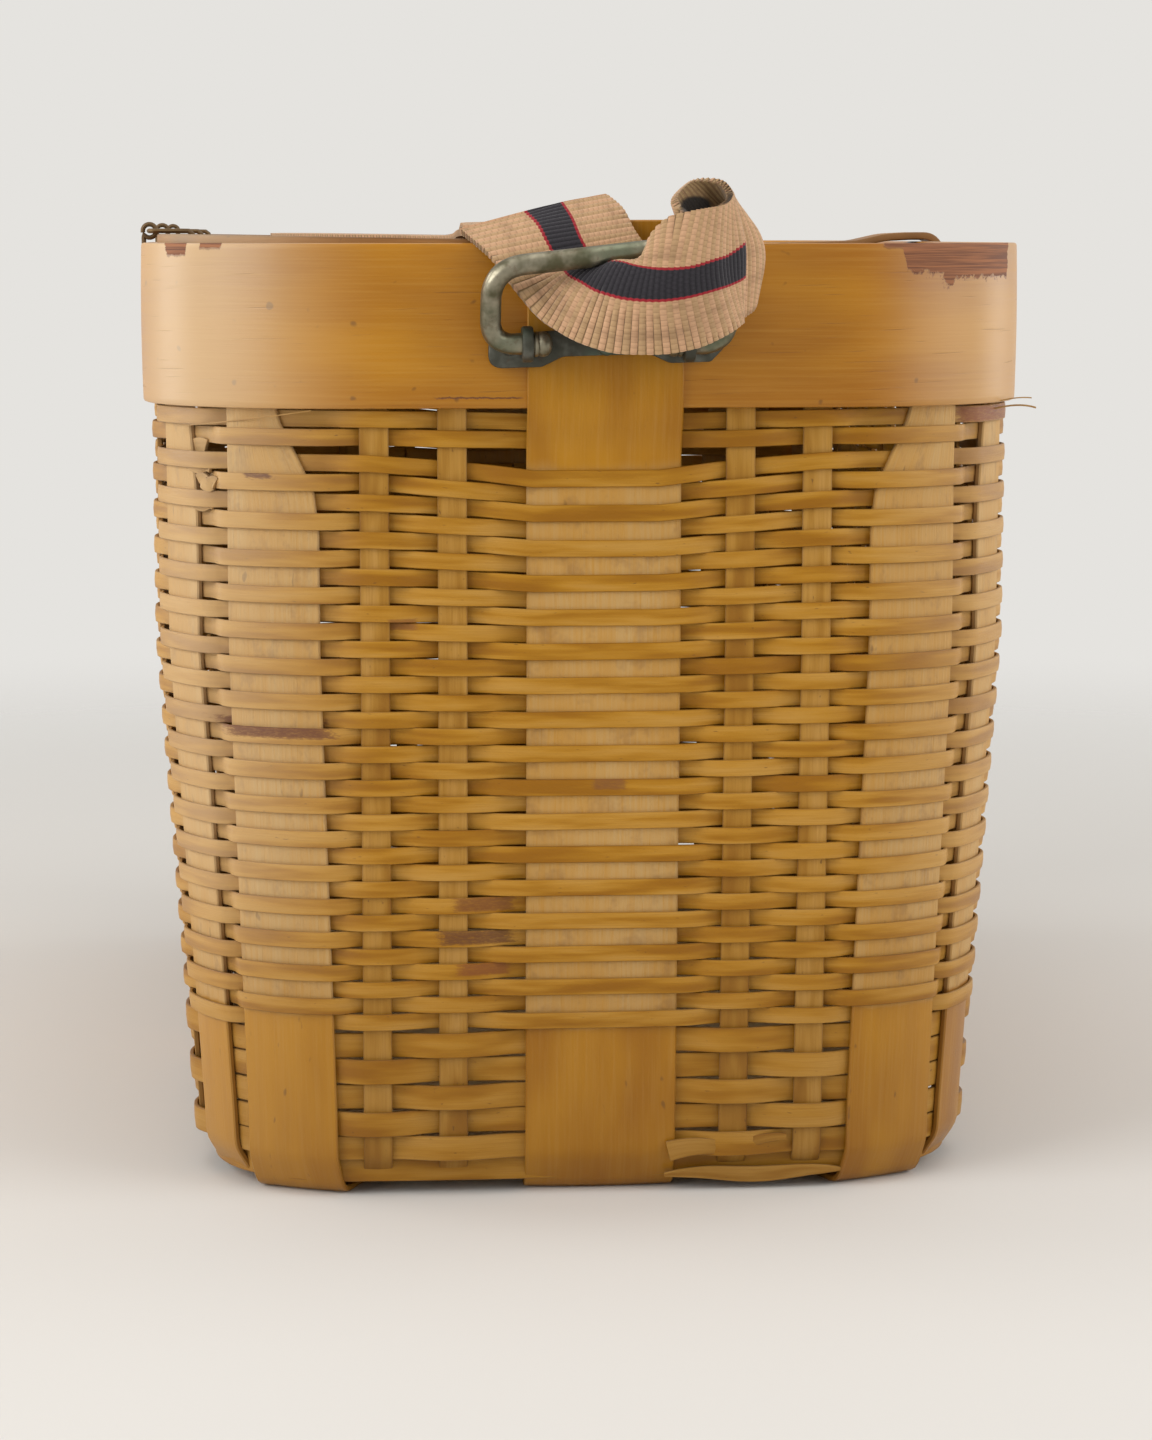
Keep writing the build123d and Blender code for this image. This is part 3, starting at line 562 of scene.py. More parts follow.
weave = {"rows": 33, "pitch": 3.425, "first": 37.0, "width": 3.36, "thick": 0.72, "crest": 1.12,
         "wobble": 0.07,
         "topRows": [154.0, 157.6],  # two more, squeezed in under the rim band, behind the centre splints
         "dip": 3.3, "dipFade": 24.0, "dipFrom": 13, "dipRun": 32, "topDip": 0.25,
         "step": 1.9, "crown": 0.13, "waves": (31, 11.3), "flat": 1.4, "overhang": 0.2}
baseWeave = {"rows": 5, "pitch": 5.45, "first": 10.3, "width": 5.1, "thick": 0.8, "crest": 1.2,
             "wobble": 0.12, "edgeHeight": 5.4, "edgeCrest": 2.6}
cadRows = {"thin": 20, "base": 4, "bottom": 34.4, "top": 160.1}  # the solids have fewer and higher rows


def rowOffsets(goesOver, crest):
    # the places where a row lies flat over or under an upright, and how far out it lies there
    flats = []
    for number, (place, half) in enumerate(uprights):
        flatHalf = half + weave["overhang"] if half > stakes["width"] / 2 else weave["flat"]
        lift = crest if goesOver(number, half) else -crest
        flats += [(place - flatHalf, lift), (place + flatHalf, lift)]
    return flats


def weaveRow(name, height, kind, crest, goesOver, sag=0.0):
    # one row, whose ends meet where an upright at the rear middle covers them
    flats = rowOffsets(goesOver, crest)
    starts = [flat for flat, lift in flats]
    covers = [number for number in (rearCentre, rearCentre + 1) if not goesOver(number, uprights[number][1])]
    begin = uprights[covers[0]][0]
    count = int(wholeRound / weave["step"])
    phase = random.uniform(0, 6)
    line, faces = [], []
    for station in range(count + 1):
        distance = begin + wholeRound * (station / count) * wall["lap"]
        around = (distance - starts[0]) % wholeRound + starts[0]
        spot = np.searchsorted(starts, around, side="right")
        before, after = flats[spot - 1], flats[spot % len(flats)]
        gap = (after[0] - before[0]) % wholeRound
        share = ((around - before[0]) % wholeRound) / gap if gap > 1e-6 else 0
        share = share * share * (3 - 2 * share)
        off = before[1] * (1 - share) + after[1] * share
        past = around % wholeRound
        fromEnd = min(past, wholeRound - past, abs(around - 2 * quarter))
        rise = sag * limited((fromEnd - weave["dipFrom"]) / weave["dipRun"]) ** 0.8
        long, short = [sin(distance / wave + phase * turn) for turn, wave in enumerate(weave["waves"], 1)]
        z = height + rise + kind["wobble"] * long + kind["wobble"] * 0.6 * short
        x, y, outX, outY = wallSpot(around, off - lean(z))
        line.append((x, y, z))
        slope = wall["lean"] / (wall["knee"] - wall["foot"]) if z < wall["knee"] else 0
        faces.append((outX, outY, -slope))
    return layStrip(name, line, faces, kind["width"] / 2, kind["thick"], crown=weave["crown"])


heights = [weave["first"] + weave["pitch"] * row for row in range(weave["rows"])]
cadPitch = (cadRows["top"] - cadRows["bottom"]) / cadRows["thin"]
nodesDone = 0
for row, height in enumerate(heights + weave["topRows"]):
    # rows rise from the middle of each end, most of all under the rim band
    squeezed = row >= weave["rows"]
    sag = weave["dip"] * exp(-(heights[-1] - min(height, heights[-1])) / weave["dipFade"])
    over = (lambda number, half, row=row, squeezed=squeezed:
            (number + row) % 2 == 0 and not (squeezed and number in (0, rearCentre)))
    piece = weaveRow(f"thinWeaver{row + 1:02d}", height, weave, weave["crest"], over,
                     sag * weave["topDip"] if squeezed else sag)
    upTo = limited(int((height - cadRows["bottom"]) / cadPitch) + 1, 1, cadRows["thin"])
    nodes = [f"thin_weaver_{node:02d}" for node in range(nodesDone + 1, upTo + 1)]
    nodesDone = upTo
    dress(piece, weaverPaint, "creel", nodes)
for row in range(baseWeave["rows"]):
    over = (lambda number, half, row=row: half <= stakes["width"] / 2 and (number + row) % 2 == 1)
    piece = weaveRow(f"baseWeaver{row + 1}", baseWeave["first"] + baseWeave["pitch"] * row, baseWeave,
                     baseWeave["crest"], over)
    nodes = [f"base_weaver_{row + 1}"] if row < cadRows["base"] else []
    dress(piece, weaverPaint, "creel", nodes)
# the fibrous edge strip behind the feet of all the uprights
piece = weaveRow(f"baseWeaver{baseWeave['rows'] + 1}", baseWeave["edgeHeight"], baseWeave,
                 baseWeave["edgeCrest"], lambda number, half: False)
dress(piece, weaverPaint, "creel")
print("weavers woven for", nodesDone, "thin rows of the solids")


def wallProfile(thick, level, halfSize):
    bottom = wall["levels"][level] + thick / 2
    foot = halfSize - wall["lean"]
    up, inwards = wall["turnIn"]
    return [(halfSize, wall["knee"]), (foot, wall["foot"] + up), (foot - inwards, bottom)]


def looped(rise):
    return rise + [(-out, up) for out, up in reversed(rise)]


def layUpright(name, line, spot, way, width, thick, crown=0.1, across=3, edge=0.2, drift=0):
    # a strip in an upright plane through a spot; the line is outwards and up, the drift is sideways
    path = np.array([(spot[0] + way[0] * out, spot[1] + way[1] * out, up) for out, up in line])
    ways = np.gradient(path, axis=0)
    ways /= np.linalg.norm(ways, axis=1)[:, None]
    sides = np.tile(np.array([-way[1], way[0], 0.0]), (len(line), 1))
    path = path + sides * np.broadcast_to(np.array(drift, float), (len(line),))[:, None]
    return layStrip(name, path, np.cross(ways, sides), width, thick, crown, across, edge)


def stakeSet(name, node, places, halfSize, level, way, spotAt):
    # stakes that run down one wall, under the base and up the other
    pieces = []
    for place in places:
        rise = [(halfSize, wall["upright"])] + wallProfile(stakes["thick"], level, halfSize)
        line = easeLine(looped(rise), [90, 6, 4, 4, 6, 90], 1.6)
        pieces.append(layUpright(name, line, spotAt(place), way, stakes["width"] / 2, stakes["thick"]))
    dress(join(pieces, name), stakePaint, "creel", [node])


longPlaces = [side * place for place in (stakes["inner"], stakes["outer"]) for side in (-1, 1)]
stakeSet("longStakes", "long_stakes", longPlaces, wall["halfLength"], 2, (0, -1), lambda place: (place, 0))
crossPlaces = [side * (quarter - place) for place, half in quarterList[4:] for side in (-1, 1)]
stakeSet("crossStakes", "cross_stakes", crossPlaces, wall["halfWidth"], 3, (1, 0), lambda place: (0, place))

# the centre splint steps out over the rim band; its ends are broken off where the strap crosses
# them, but at the front one side keeps its full height
centre = {"out": 4.0, "top": 197.0, "step": (160.2, 153.0), "breakFrom": 192.0, "broken": 193.4, "kept": 3.6,
          "keptFrom": 1.0, "keptRun": 4.4}
stepTop, stepBottom = centre["step"]
rise = [(wall["halfLength"] + centre["out"], centre["top"]), (wall["halfLength"] + centre["out"], stepTop),
        (wall["halfLength"], stepBottom)]
line = easeLine(looped(rise + wallProfile(splints["thick"], 0, wall["halfLength"])),
                [12, 12, 90, 7, 5, 5, 7, 90, 12, 12], 1.6)
piece = layUpright("centreSplint", line, (splints["shift"], 0), (0, -1), splints["centre"] / 2,
                   splints["thick"], crown=0.35, across=9, edge=0.3)
for vertex in piece.data.vertices:
    x, y, z = vertex.co / mm
    if z > centre["breakFrom"]:
        share = limited((x - centre["keptFrom"]) / centre["keptRun"])
        top = centre["broken"] + (centre["kept"] * share * share * (3 - 2 * share) if y < 0 else 0)
        squash = (top - centre["breakFrom"]) / (centre["top"] - centre["breakFrom"])
        vertex.co.z = (centre["breakFrom"] + (z - centre["breakFrom"]) * squash) * mm
dress(piece, centrePaint, "creel", ["centre_splint"])
rise = [(wall["halfWidth"], wall["upright"])] + wallProfile(splints["thick"], 1, wall["halfWidth"])
piece = layUpright("sideSplint", easeLine(looped(rise), [90, 7, 5, 5, 7, 90], 1.6), (0, 0), (1, 0),
                   splints["side"] / 2, splints["thick"], crown=0.3, across=7, edge=0.3)
dress(piece, centrePaint, "creel", ["side_splint"])


def cornerSplint(kind, level, front, sideways, distance):
    # a splint on a round corner, narrowed at the top and hollow to fit it
    width = splints[kind]
    x, y, outX, outY = wallSpot(distance)
    hollow = wall["corner"] - sqrt(wall["corner"] ** 2 - (width / 2) ** 2)
    profile = [(0, wall["upright"])] + wallProfile(splints["thick"], level, 0)
    profile.append((-wall["lean"] - splints[f"{kind}Foot"], profile[-1][1]))
    line = easeLine(profile, [90, 7, 5], 1.6)
    half = width / 2 - (splints["trim"] if kind == "corner" else 0)
    narrowing = wall["bandBottom"] - splints["taperBottom"]
    halves = [half + (splints["top"] / 2 - half) * limited((up - splints["taperBottom"]) / narrowing)
              for out, up in line]
    crowns = [hollow * (part / (width / 2)) ** 2 * limited((up - 3) / 9, 0.15)
              for (out, up), part in zip(line, halves)]
    line = [(out - 0.6 * crown, up) for (out, up), crown in zip(line, crowns)]
    away = 1 if (front, sideways) in (("front", "right"), ("rear", "left")) else -1
    drift = [away * (halves[-1] - part) * 0.9 for part in halves]
    piece = layUpright(front + sideways.title() + kind.title() + "Splint", line, (x, y), (outX, outY), halves,
                       splints["thick"], crown=crowns, across=7, edge=0.3, drift=drift)
    dress(piece, cornerPaint, "creel", [f"{front}_{sideways}_{kind}_splint"])


for kind, level in (("end", 0), ("corner", 1)):
    place = splints[f"{kind}Place"]
    cornerSplint(kind, level, "front", "right", place)
    cornerSplint(kind, level, "rear", "right", 2 * quarter - place)
    cornerSplint(kind, level, "rear", "left", 2 * quarter + place)
    cornerSplint(kind, level, "front", "left", wholeRound - place)
print("uprights set")

band = {"thick": 2.4, "innerBottom": 164.5, "stand": 0.85, "joint": 24, "step": 1.25, "innerStep": 3.0}


def ringLine(off, z, step):
    # all round the rim, its ends meeting at the joint near the rear middle
    count = int(wholeRound / step)
    line, faces = [], []
    for station in range(count + 1):
        distance = 2 * quarter - band["joint"] + wholeRound * station / count * wall["lap"]
        x, y, outX, outY = wallSpot(distance, off)
        line.append((x, y, z))
        faces.append((outX, outY, 0))
    return line, faces


stand = band["stand"] + band["thick"] / 2
outerHalf, innerHalf = wall["bandHeight"] / 2, (wall["upright"] - band["innerBottom"]) / 2
line, faces = ringLine(stand, wall["bandBottom"] + outerHalf, band["step"])
piece = layStrip("outerRimBand", line, faces, outerHalf, band["thick"], crown=0.25, across=25, edge=0.55,
                 rings=2)
dress(piece, rimPaint, "creel", ["outer_rim_band"])
line, faces = ringLine(-stand, band["innerBottom"] + innerHalf, band["innerStep"])
piece = layStrip("innerRimBand", line, faces, innerHalf, band["thick"], crown=0.0, across=5, edge=0.4)
dress(piece, rimPaint, "creel", ["inner_rim_band"])
print("rim bands bent")

lid = {"tilt": radians(0.9), "height": 192.95, "hoopOff": -1.35, "hoop": 7.0, "hoopThick": 2.4,
       "halfWidth": 84.1, "halfLength": 144.1, "corner": 35.35, "battenPitch": 18.4, "batten": 9.0,
       "battenThick": 0.9, "rowPitch": 3.52, "row": 3.3, "rowThick": 0.6, "rowStep": 2.6, "crest": 0.85,
       "waveFlat": 1.35, "weaveDepth": -2.15, "holeX": 18.0, "holeHalf": (20.0, 35.0), "holeFrame": 5.0,
       "frameThick": 3.0, "frameDepth": -1.6, "frameLap": 1.2, "frameMitre": 2.6}


def lidPoint(across, along, up):
    return (across * cos(lid["tilt"]) + up * sin(lid["tilt"]), along,
            lid["height"] - across * sin(lid["tilt"]) + up * cos(lid["tilt"]))


def lidReach(place, halfRun, halfSide):
    # how far a strip at a place reaches before the lid's round corner
    inside = abs(place) - (halfSide - lid["corner"])
    return halfRun - lid["corner"] + sqrt(lid["corner"] ** 2 - inside ** 2) if inside > 0 else halfRun


line, faces = ringLine(lid["hoopOff"], 0, 2.5)
line = [lidPoint(x, y, -lid["hoop"] / 2) for x, y, z in line]
piece = layStrip("lidHoop", line, faces, lid["hoop"] / 2, lid["hoopThick"], crown=0.0, across=5, edge=0.45,
                 rings=2)
dress(piece, hoopPaint, "lid", ["lid_hoop"])
lidUp = (sin(lid["tilt"]), 0, cos(lid["tilt"]))
holeEdge = [half + lid["holeFrame"] - lid["frameLap"] for half in lid["holeHalf"]]
battens = []
for number in range(-4, 5):
    across = number * lid["battenPitch"]
    reach = lidReach(across, lid["halfLength"], lid["halfWidth"])
    runs = [(-reach, reach)]
    if abs(across - lid["holeX"]) < holeEdge[0]:
        runs = [(-reach, -holeEdge[1]), (holeEdge[1], reach)]
    for low, high in runs:
        line = [lidPoint(across, along, lid["weaveDepth"]) for along in np.linspace(low, high, 31)]
        battens.append(layStrip("batten", line, [lidUp] * len(line), lid["batten"] / 2, lid["battenThick"],
                                crown=0.12, edge=0.15))
dress(join(battens, "lidBattens"), lidPaint, "lid", ["lid_battens"])
rows = []
rowCount = int(2 * lid["halfLength"] / lid["rowPitch"])
for row in range(rowCount):
    along = (row - (rowCount - 1) / 2) * lid["rowPitch"]
    reach = lidReach(along, lid["halfWidth"], lid["halfLength"])
    runs = [(-reach, reach)]
    if abs(along) < holeEdge[1]:
        runs = [(-reach, lid["holeX"] - holeEdge[0]), (lid["holeX"] + holeEdge[0], reach)]
    for low, high in runs:
        count = max(6, int((high - low) / lid["rowStep"]))
        line = []
        for across in np.linspace(low, high, count + 1):
            wave = cos(pi * across / lid["battenPitch"]) * (1 if row % 2 else -1)
            wave = limited(wave * lid["waveFlat"], -1) * lid["crest"]
            line.append(lidPoint(across, along, lid["weaveDepth"] + wave))
        rows.append(layStrip("row", line, [lidUp] * len(line), lid["row"] / 2, lid["rowThick"], edge=0))
dress(join(rows, "lidStrips"), lidPaint, "lid", ["lid_strips"])
frameHalf = [half + lid["holeFrame"] / 2 for half in lid["holeHalf"]]
ends = (lid["holeFrame"] / 2, -lid["frameMitre"])  # the cross pieces run past the long ones
sides = []
for turn, (across, along, way) in enumerate(((0, -frameHalf[1], (1, 0)), (frameHalf[0], 0, (0, 1)),
                                             (0, frameHalf[1], (-1, 0)), (-frameHalf[0], 0, (0, -1)))):
    reach = frameHalf[turn % 2] + ends[turn % 2]
    line = [lidPoint(lid["holeX"] + across + way[0] * reach * share, along + way[1] * reach * share,
                     lid["frameDepth"]) for share in np.linspace(-1, 1, 25)]
    sides.append(layStrip("side", line, [lidUp] * len(line), lid["holeFrame"] / 2, lid["frameThick"],
                          crown=0.35, across=5, edge=0.5, rings=2))
dress(join(sides, "fishHoleFrame"), hoopPaint, "lid", ["fish_hole_frame"])
print("lid woven")

latch = {"half": 7.0, "thick": 1.6, "pointFrom": 176, "point": 0.45,
         # the tongue from the lid out over the rim and down, in x and z
         "tongue": [(52.0, 191.3), (73.0, 191.8), (80.6, 193.5), (87.0, 193.8), (91.5, 193.8), (95.4, 187.8),
                    (95.4, 171.5)],
         "bends": [20, 20, 8, 5, 4],
         # the keeper round it, in x and y
         "keeper": [(90.8, -17.8), (90.8, -11.8), (97.5, -8.6), (97.5, 8.6), (90.8, 11.8), (90.8, 17.8)],
         "keeperHeight": 174.5, "keeperHalf": 4.0, "keeperThick": 1.4}


def bentFaces(line, across):
    # which way the skin of a strip looks that bends about one direction
    return np.cross(np.gradient(np.array(line), axis=0), across)


line = [(x, 0, z) for x, z in easeLine(latch["tongue"], latch["bends"], 0.8)]
halves = [latch["half"] - max(0, latch["pointFrom"] - z) * latch["point"] for x, y, z in line]
piece = layStrip("latchTongue", line, -bentFaces(line, (0.0, 1.0, 0.0)), halves, latch["thick"], crown=0.25,
                 across=5, edge=0.35, rings=2)
dress(piece, hoopPaint, "lid", ["latch_tongue"])
line = [(x, y, latch["keeperHeight"]) for x, y in easeLine(latch["keeper"], [3, 3, 3, 3], 0.8)]
piece = layStrip("latchKeeper", line, bentFaces(line, (0.0, 0.0, 1.0)), latch["keeperHalf"],
                 latch["keeperThick"], crown=0.2, across=5, edge=0.3, rings=2)
dress(piece, hoopPaint, "creel", ["latch_keeper"])


def bendRod(name, line, radius, sides):
    # a round rod along a line of points
    rod = addShape(name, bpy.ops.curve.primitive_nurbs_path_add, location=(0, 0, 0))
    rod.data.splines.clear()
    spline = rod.data.splines.new("POLY")
    spline.points.add(len(line) - 1)
    for point, place in zip(spline.points, line):
        point.co = (place[0] * mm, place[1] * mm, place[2] * mm, 1)
    rod.data.dimensions = "3D"
    rod.data.bevel_depth = radius * mm
    rod.data.bevel_resolution = sides // 4 - 1
    rod.data.use_fill_caps = True
    choose(rod)
    bpy.ops.object.convert(target="MESH")
    return bpy.context.object


hinge = {"x": -89.4, "z": 194.91, "places": (-78.0, 0.0, 78.0), "wire": 0.5, "eye": 1.4, "clipX": -90.6,
         "clipDrop": 14.0, "linkHalf": 4.0, "linkReach": 9.0, "linkBend": 0.8, "linkDrop": 0.6,
         "linkFoot": 0.8, "clipTop": 0.6}
eyes, links = [], []
for place in hinge["places"]:
    # an eye, turned nearly once round from its clip and a little sideways
    start = radians(210)
    turn = [(hinge["x"] + hinge["eye"] * cos(start + angle), place + 0.2 * angle / pi - 0.2,
             hinge["z"] + hinge["eye"] * sin(start + angle)) for angle in np.linspace(0, 2 * pi - 0.3, 26)]
    clip = [(hinge["clipX"], place, height)
            for height in (hinge["z"] - hinge["clipDrop"], turn[0][2] - hinge["clipTop"])]
    eyes.append(bendRod("eye", clip + turn, hinge["wire"], 12))
    # the lid's link through it, its two ends turned down into the lid
    end, half = hinge["x"] + hinge["linkReach"], hinge["linkHalf"]
    foot = lid["height"] - end * sin(lid["tilt"]) - hinge["linkFoot"]
    bend = end - hinge["linkBend"]
    flat = easeLine([(bend, -half), (hinge["x"], -half), (hinge["x"], half), (bend, half)], [1.2, 1.2], 0.4)
    down = [[(end, place + side * half, height) for height in (foot, hinge["z"] - hinge["linkDrop"])]
            for side in (-1, 1)]
    loop = down[0] + [(spot.x, place + spot.y, hinge["z"]) for spot in flat] + down[1][::-1]
    links.append(bendRod("link", loop, hinge["wire"], 12))
dress(join(eyes, "hingeEyes"), wirePaint, "creel", ["hinge_eyes"])
dress(join(links, "hingeLinks"), wirePaint, "lid", ["hinge_links"])

bail = {"shift": 1.4, "half": 22.9, "reach": 18.5, "skew": 0.12, "rod": 2.05, "out": 156.9, "height": 173.2,
        "lean": radians(22), "bends": [5.4, 7.5, 7.5, 5.4], "inner": 12.4,
        # peened ends: how far across, and half sizes; the collar against the ear
        "ball": 12.7, "ballSize": (1.9, 2.45, 2.45), "collar": 14.0, "collarSize": (2.45, 0.9)}
plate = {"face": 153.0, "back": 151.5, "height": 172.7, "half": 23.0, "tall": 3.7, "waist": 12.5,
         "waisted": 1.9, "waistRun": 4, "cutCorner": (2.5, 2.6), "turned": radians(1.6),
         "bends": [2.6, 3.0, 3.0, 3.0, 3.0, 3.0, 1.2, 1.2, 1.6],
         "ear": 15.7, "earSize": (3.5, 2.2), "lugOut": 154.9, "lug": (2.0, 4.0, 6.4),
         "rivets": (-19.0, 0.0, 19.0), "rivetSize": (1.9, 1.1, 1.9)}


def addSolid(name, operator, place, scale=(1, 1, 1), **settings):
    # a primitive with its place and size applied to its mesh
    solid = addShape(name, operator, location=[part * mm for part in place], **settings)
    solid.scale = scale
    bpy.ops.object.transform_apply(location=True, rotation=True, scale=True)
    return solid


def roundBlob(name, place, size):
    return addSolid(name, bpy.ops.mesh.primitive_uv_sphere_add, place, size, segments=24, ring_count=12,
                    radius=mm)


def drum(name, place, size, edge):
    # a short cylinder that lies across, its rim rounded
    made = addSolid(name, bpy.ops.mesh.primitive_cylinder_add, place, vertices=28, radius=size[0] * mm,
                    depth=size[1] * mm, rotation=(0, pi / 2, 0))
    roundEdges(made, edge)
    return made


def forgePlate(label, end):
    # an outline filled, thickened and rounded at its edges, with two ears on lugs
    tall, half, waist = plate["tall"], plate["half"], plate["waist"]
    inner, narrow = waist - plate["waistRun"], -tall + plate["waisted"]
    cutAcross, cutUp = plate["cutCorner"]
    outline = [(0, tall), (-half, tall * 0.75), (-half, -tall), (-waist, -tall), (-inner, narrow),
               (inner, narrow), (waist, -tall), (half - cutAcross, -tall), (half, -tall + cutUp),
               (half, tall), (0, tall)]
    ring = easeLine(outline, plate["bends"], 0.5)[:-1]
    piece = addShape("plate", bpy.ops.mesh.primitive_circle_add, vertices=len(ring), fill_type="NGON",
                     radius=1)
    level, slope = cos(plate["turned"]), sin(plate["turned"])
    for vertex, (across, up) in zip(piece.data.vertices, ring):
        vertex.co = ((bail["shift"] + across * level + up * slope) * mm, end * plate["back"] * mm,
                     (plate["height"] + up * level + across * slope) * mm)
    bpy.ops.object.mode_set(mode="EDIT")
    bpy.ops.mesh.select_all(action="SELECT")
    thick = plate["face"] - plate["back"]
    bpy.ops.mesh.extrude_region_move(TRANSFORM_OT_translate={"value": (0, end * thick * mm, 0)})
    bpy.ops.mesh.select_all(action="SELECT")
    bpy.ops.mesh.normals_make_consistent(inside=False)
    bpy.ops.object.mode_set(mode="OBJECT")
    roundEdges(piece, 0.35)
    parts = [piece]
    for side in (-1, 1):
        across = bail["shift"] + side * plate["ear"]
        parts.append(drum("ear", (across, end * bail["out"], bail["height"]), plate["earSize"], 0.4))
        spot = (across, end * plate["lugOut"], bail["height"])
        lug = addSolid("lug", bpy.ops.mesh.primitive_cube_add, spot, [part * mm for part in plate["lug"]],
                       size=1)
        roundEdges(lug, 0.3)
        parts.append(lug)
    dress(join(parts, f"{label}BailPlate"), platePaint, "creel", [f"{label}_bail_plate"])


def forgeBail(label, end):
    # one bent rod, its ends through the ears and peened over
    half, inner, skew = bail["half"], bail["inner"], bail["skew"] * bail["half"]
    corners = [(-inner, 0), (-half, 0), (-half, bail["reach"] - skew), (half, bail["reach"] + skew),
               (half, 0), (inner, 0)]
    flat = easeLine(corners, bail["bends"], 0.55)
    line = [(bail["shift"] + across * -end, end * (bail["out"] + up * sin(bail["lean"])),
             bail["height"] + up * cos(bail["lean"])) for across, up in flat]
    parts = [bendRod("rod", line, bail["rod"], 24)]
    for side in (-1, 1):
        ball, collar = [(bail["shift"] + side * bail[part], end * bail["out"], bail["height"])
                        for part in ("ball", "collar")]
        parts.append(roundBlob("ball", ball, bail["ballSize"]))
        parts.append(drum("collar", collar, bail["collarSize"], 0.25))
    dress(join(parts, f"{label}Bail"), bailPaint, f"{label}_bail", [f"{label}_bail"])


for label, end in (("front", -1), ("rear", 1)):
    forgePlate(label, end)
    forgeBail(label, end)
heads = []
for end in (-1, 1):
    for across in plate["rivets"]:
        heads.append(roundBlob("head", (bail["shift"] + across, end * plate["face"], plate["height"]),
                               plate["rivetSize"]))
dress(join(heads, "bailRivets"), platePaint, "creel", ["bail_rivets"])
print("hardware forged")

strap = {"width": 28.0, "thick": 1.5, "looseThick": 1.3, "rib": 1.08, "ribDepth": 0.15, "runRibDepth": 0.12,
         "step": 0.27, "runStep": 0.36, "samples": 900}


def throughPoints(points, share):
    # Catmull-Rom through a list of points, share from 0 to 1 over the whole list
    points = np.array(points, float)
    place = share * (len(points) - 1)
    spot = min(int(place), len(points) - 2)
    part = place - spot
    before = points[max(spot - 1, 0)]
    start, end = points[spot], points[spot + 1]
    after = points[min(spot + 2, len(points) - 1)]
    return 0.5 * (2 * start + (end - before) * part + (2 * before - 5 * start + 4 * end - after) * part ** 2
                  + (3 * start - before - 3 * end + after) * part ** 3)


def acrossWeights(shares, lanes):
    # how much each of a station's points counts at each lane, for a smooth curve through them
    weights = np.zeros((lanes, len(shares)))
    slopes = np.zeros((len(shares), len(shares)))
    for number in range(len(shares)):
        before, after = max(number - 1, 0), min(number + 1, len(shares) - 1)
        slopes[number, before] -= 1 / (shares[after] - shares[before])
        slopes[number, after] += 1 / (shares[after] - shares[before])
    for lane in range(lanes):
        place = lane / (lanes - 1)
        spot = limited(np.searchsorted(shares, place) - 1, 0, len(shares) - 2)
        gap = shares[spot + 1] - shares[spot]
        part = (place - shares[spot]) / gap
        weights[lane, spot] += 2 * part ** 3 - 3 * part ** 2 + 1
        weights[lane, spot + 1] += 3 * part ** 2 - 2 * part ** 3
        weights[lane] += slopes[spot] * gap * (part ** 3 - 2 * part ** 2 + part)
        weights[lane] += slopes[spot + 1] * gap * (part ** 3 - part ** 2)
    return weights


def laySheet(name, stations, shares, lanes, step, ribDepth, thick):
    # webbing: each station gives points across the strap, at these shares of its width
    stripNumber[0] += 1
    samples = np.array([throughPoints(stations, share) for share in np.linspace(0, 1, strap["samples"])])
    samples = samples.reshape(len(samples), len(shares), 3)
    middle = samples[:, 1:-1].mean(axis=1)
    runs = np.concatenate([[0], np.cumsum(np.linalg.norm(np.diff(middle, axis=0), axis=1))])
    length = runs[-1]
    even = np.linspace(0, length, int(length / step) + 1)
    rows = np.stack([[np.interp(even, runs, samples[:, point, axis]) for axis in range(3)]
                     for point in range(len(shares))]).transpose(2, 0, 1)
    grid = np.einsum("lp,spa->sla", acrossWeights(shares, lanes), rows)
    normal = np.cross(np.gradient(grid, axis=0), np.gradient(grid, axis=1))
    normal /= np.linalg.norm(normal, axis=2)[:, :, None] + 1e-12
    share = np.linspace(0, 1, lanes)
    ribs = np.cos(even / strap["rib"] * 2 * pi)[:, None]
    selvedge = np.clip((0.5 - np.abs(share - 0.5)) / 0.03, 0, 1)[None, :]  # lower ribs at the very edges
    grid = grid + normal * (ribs * ribDepth * (0.4 + 0.6 * selvedge))[:, :, None]
    piece = layGrid(name, grid, even / 100, share)
    modify(piece, "SOLIDIFY", thickness=thick * mm, offset=0.0)
    print(name, "length", round(length, 1))
    return piece, length


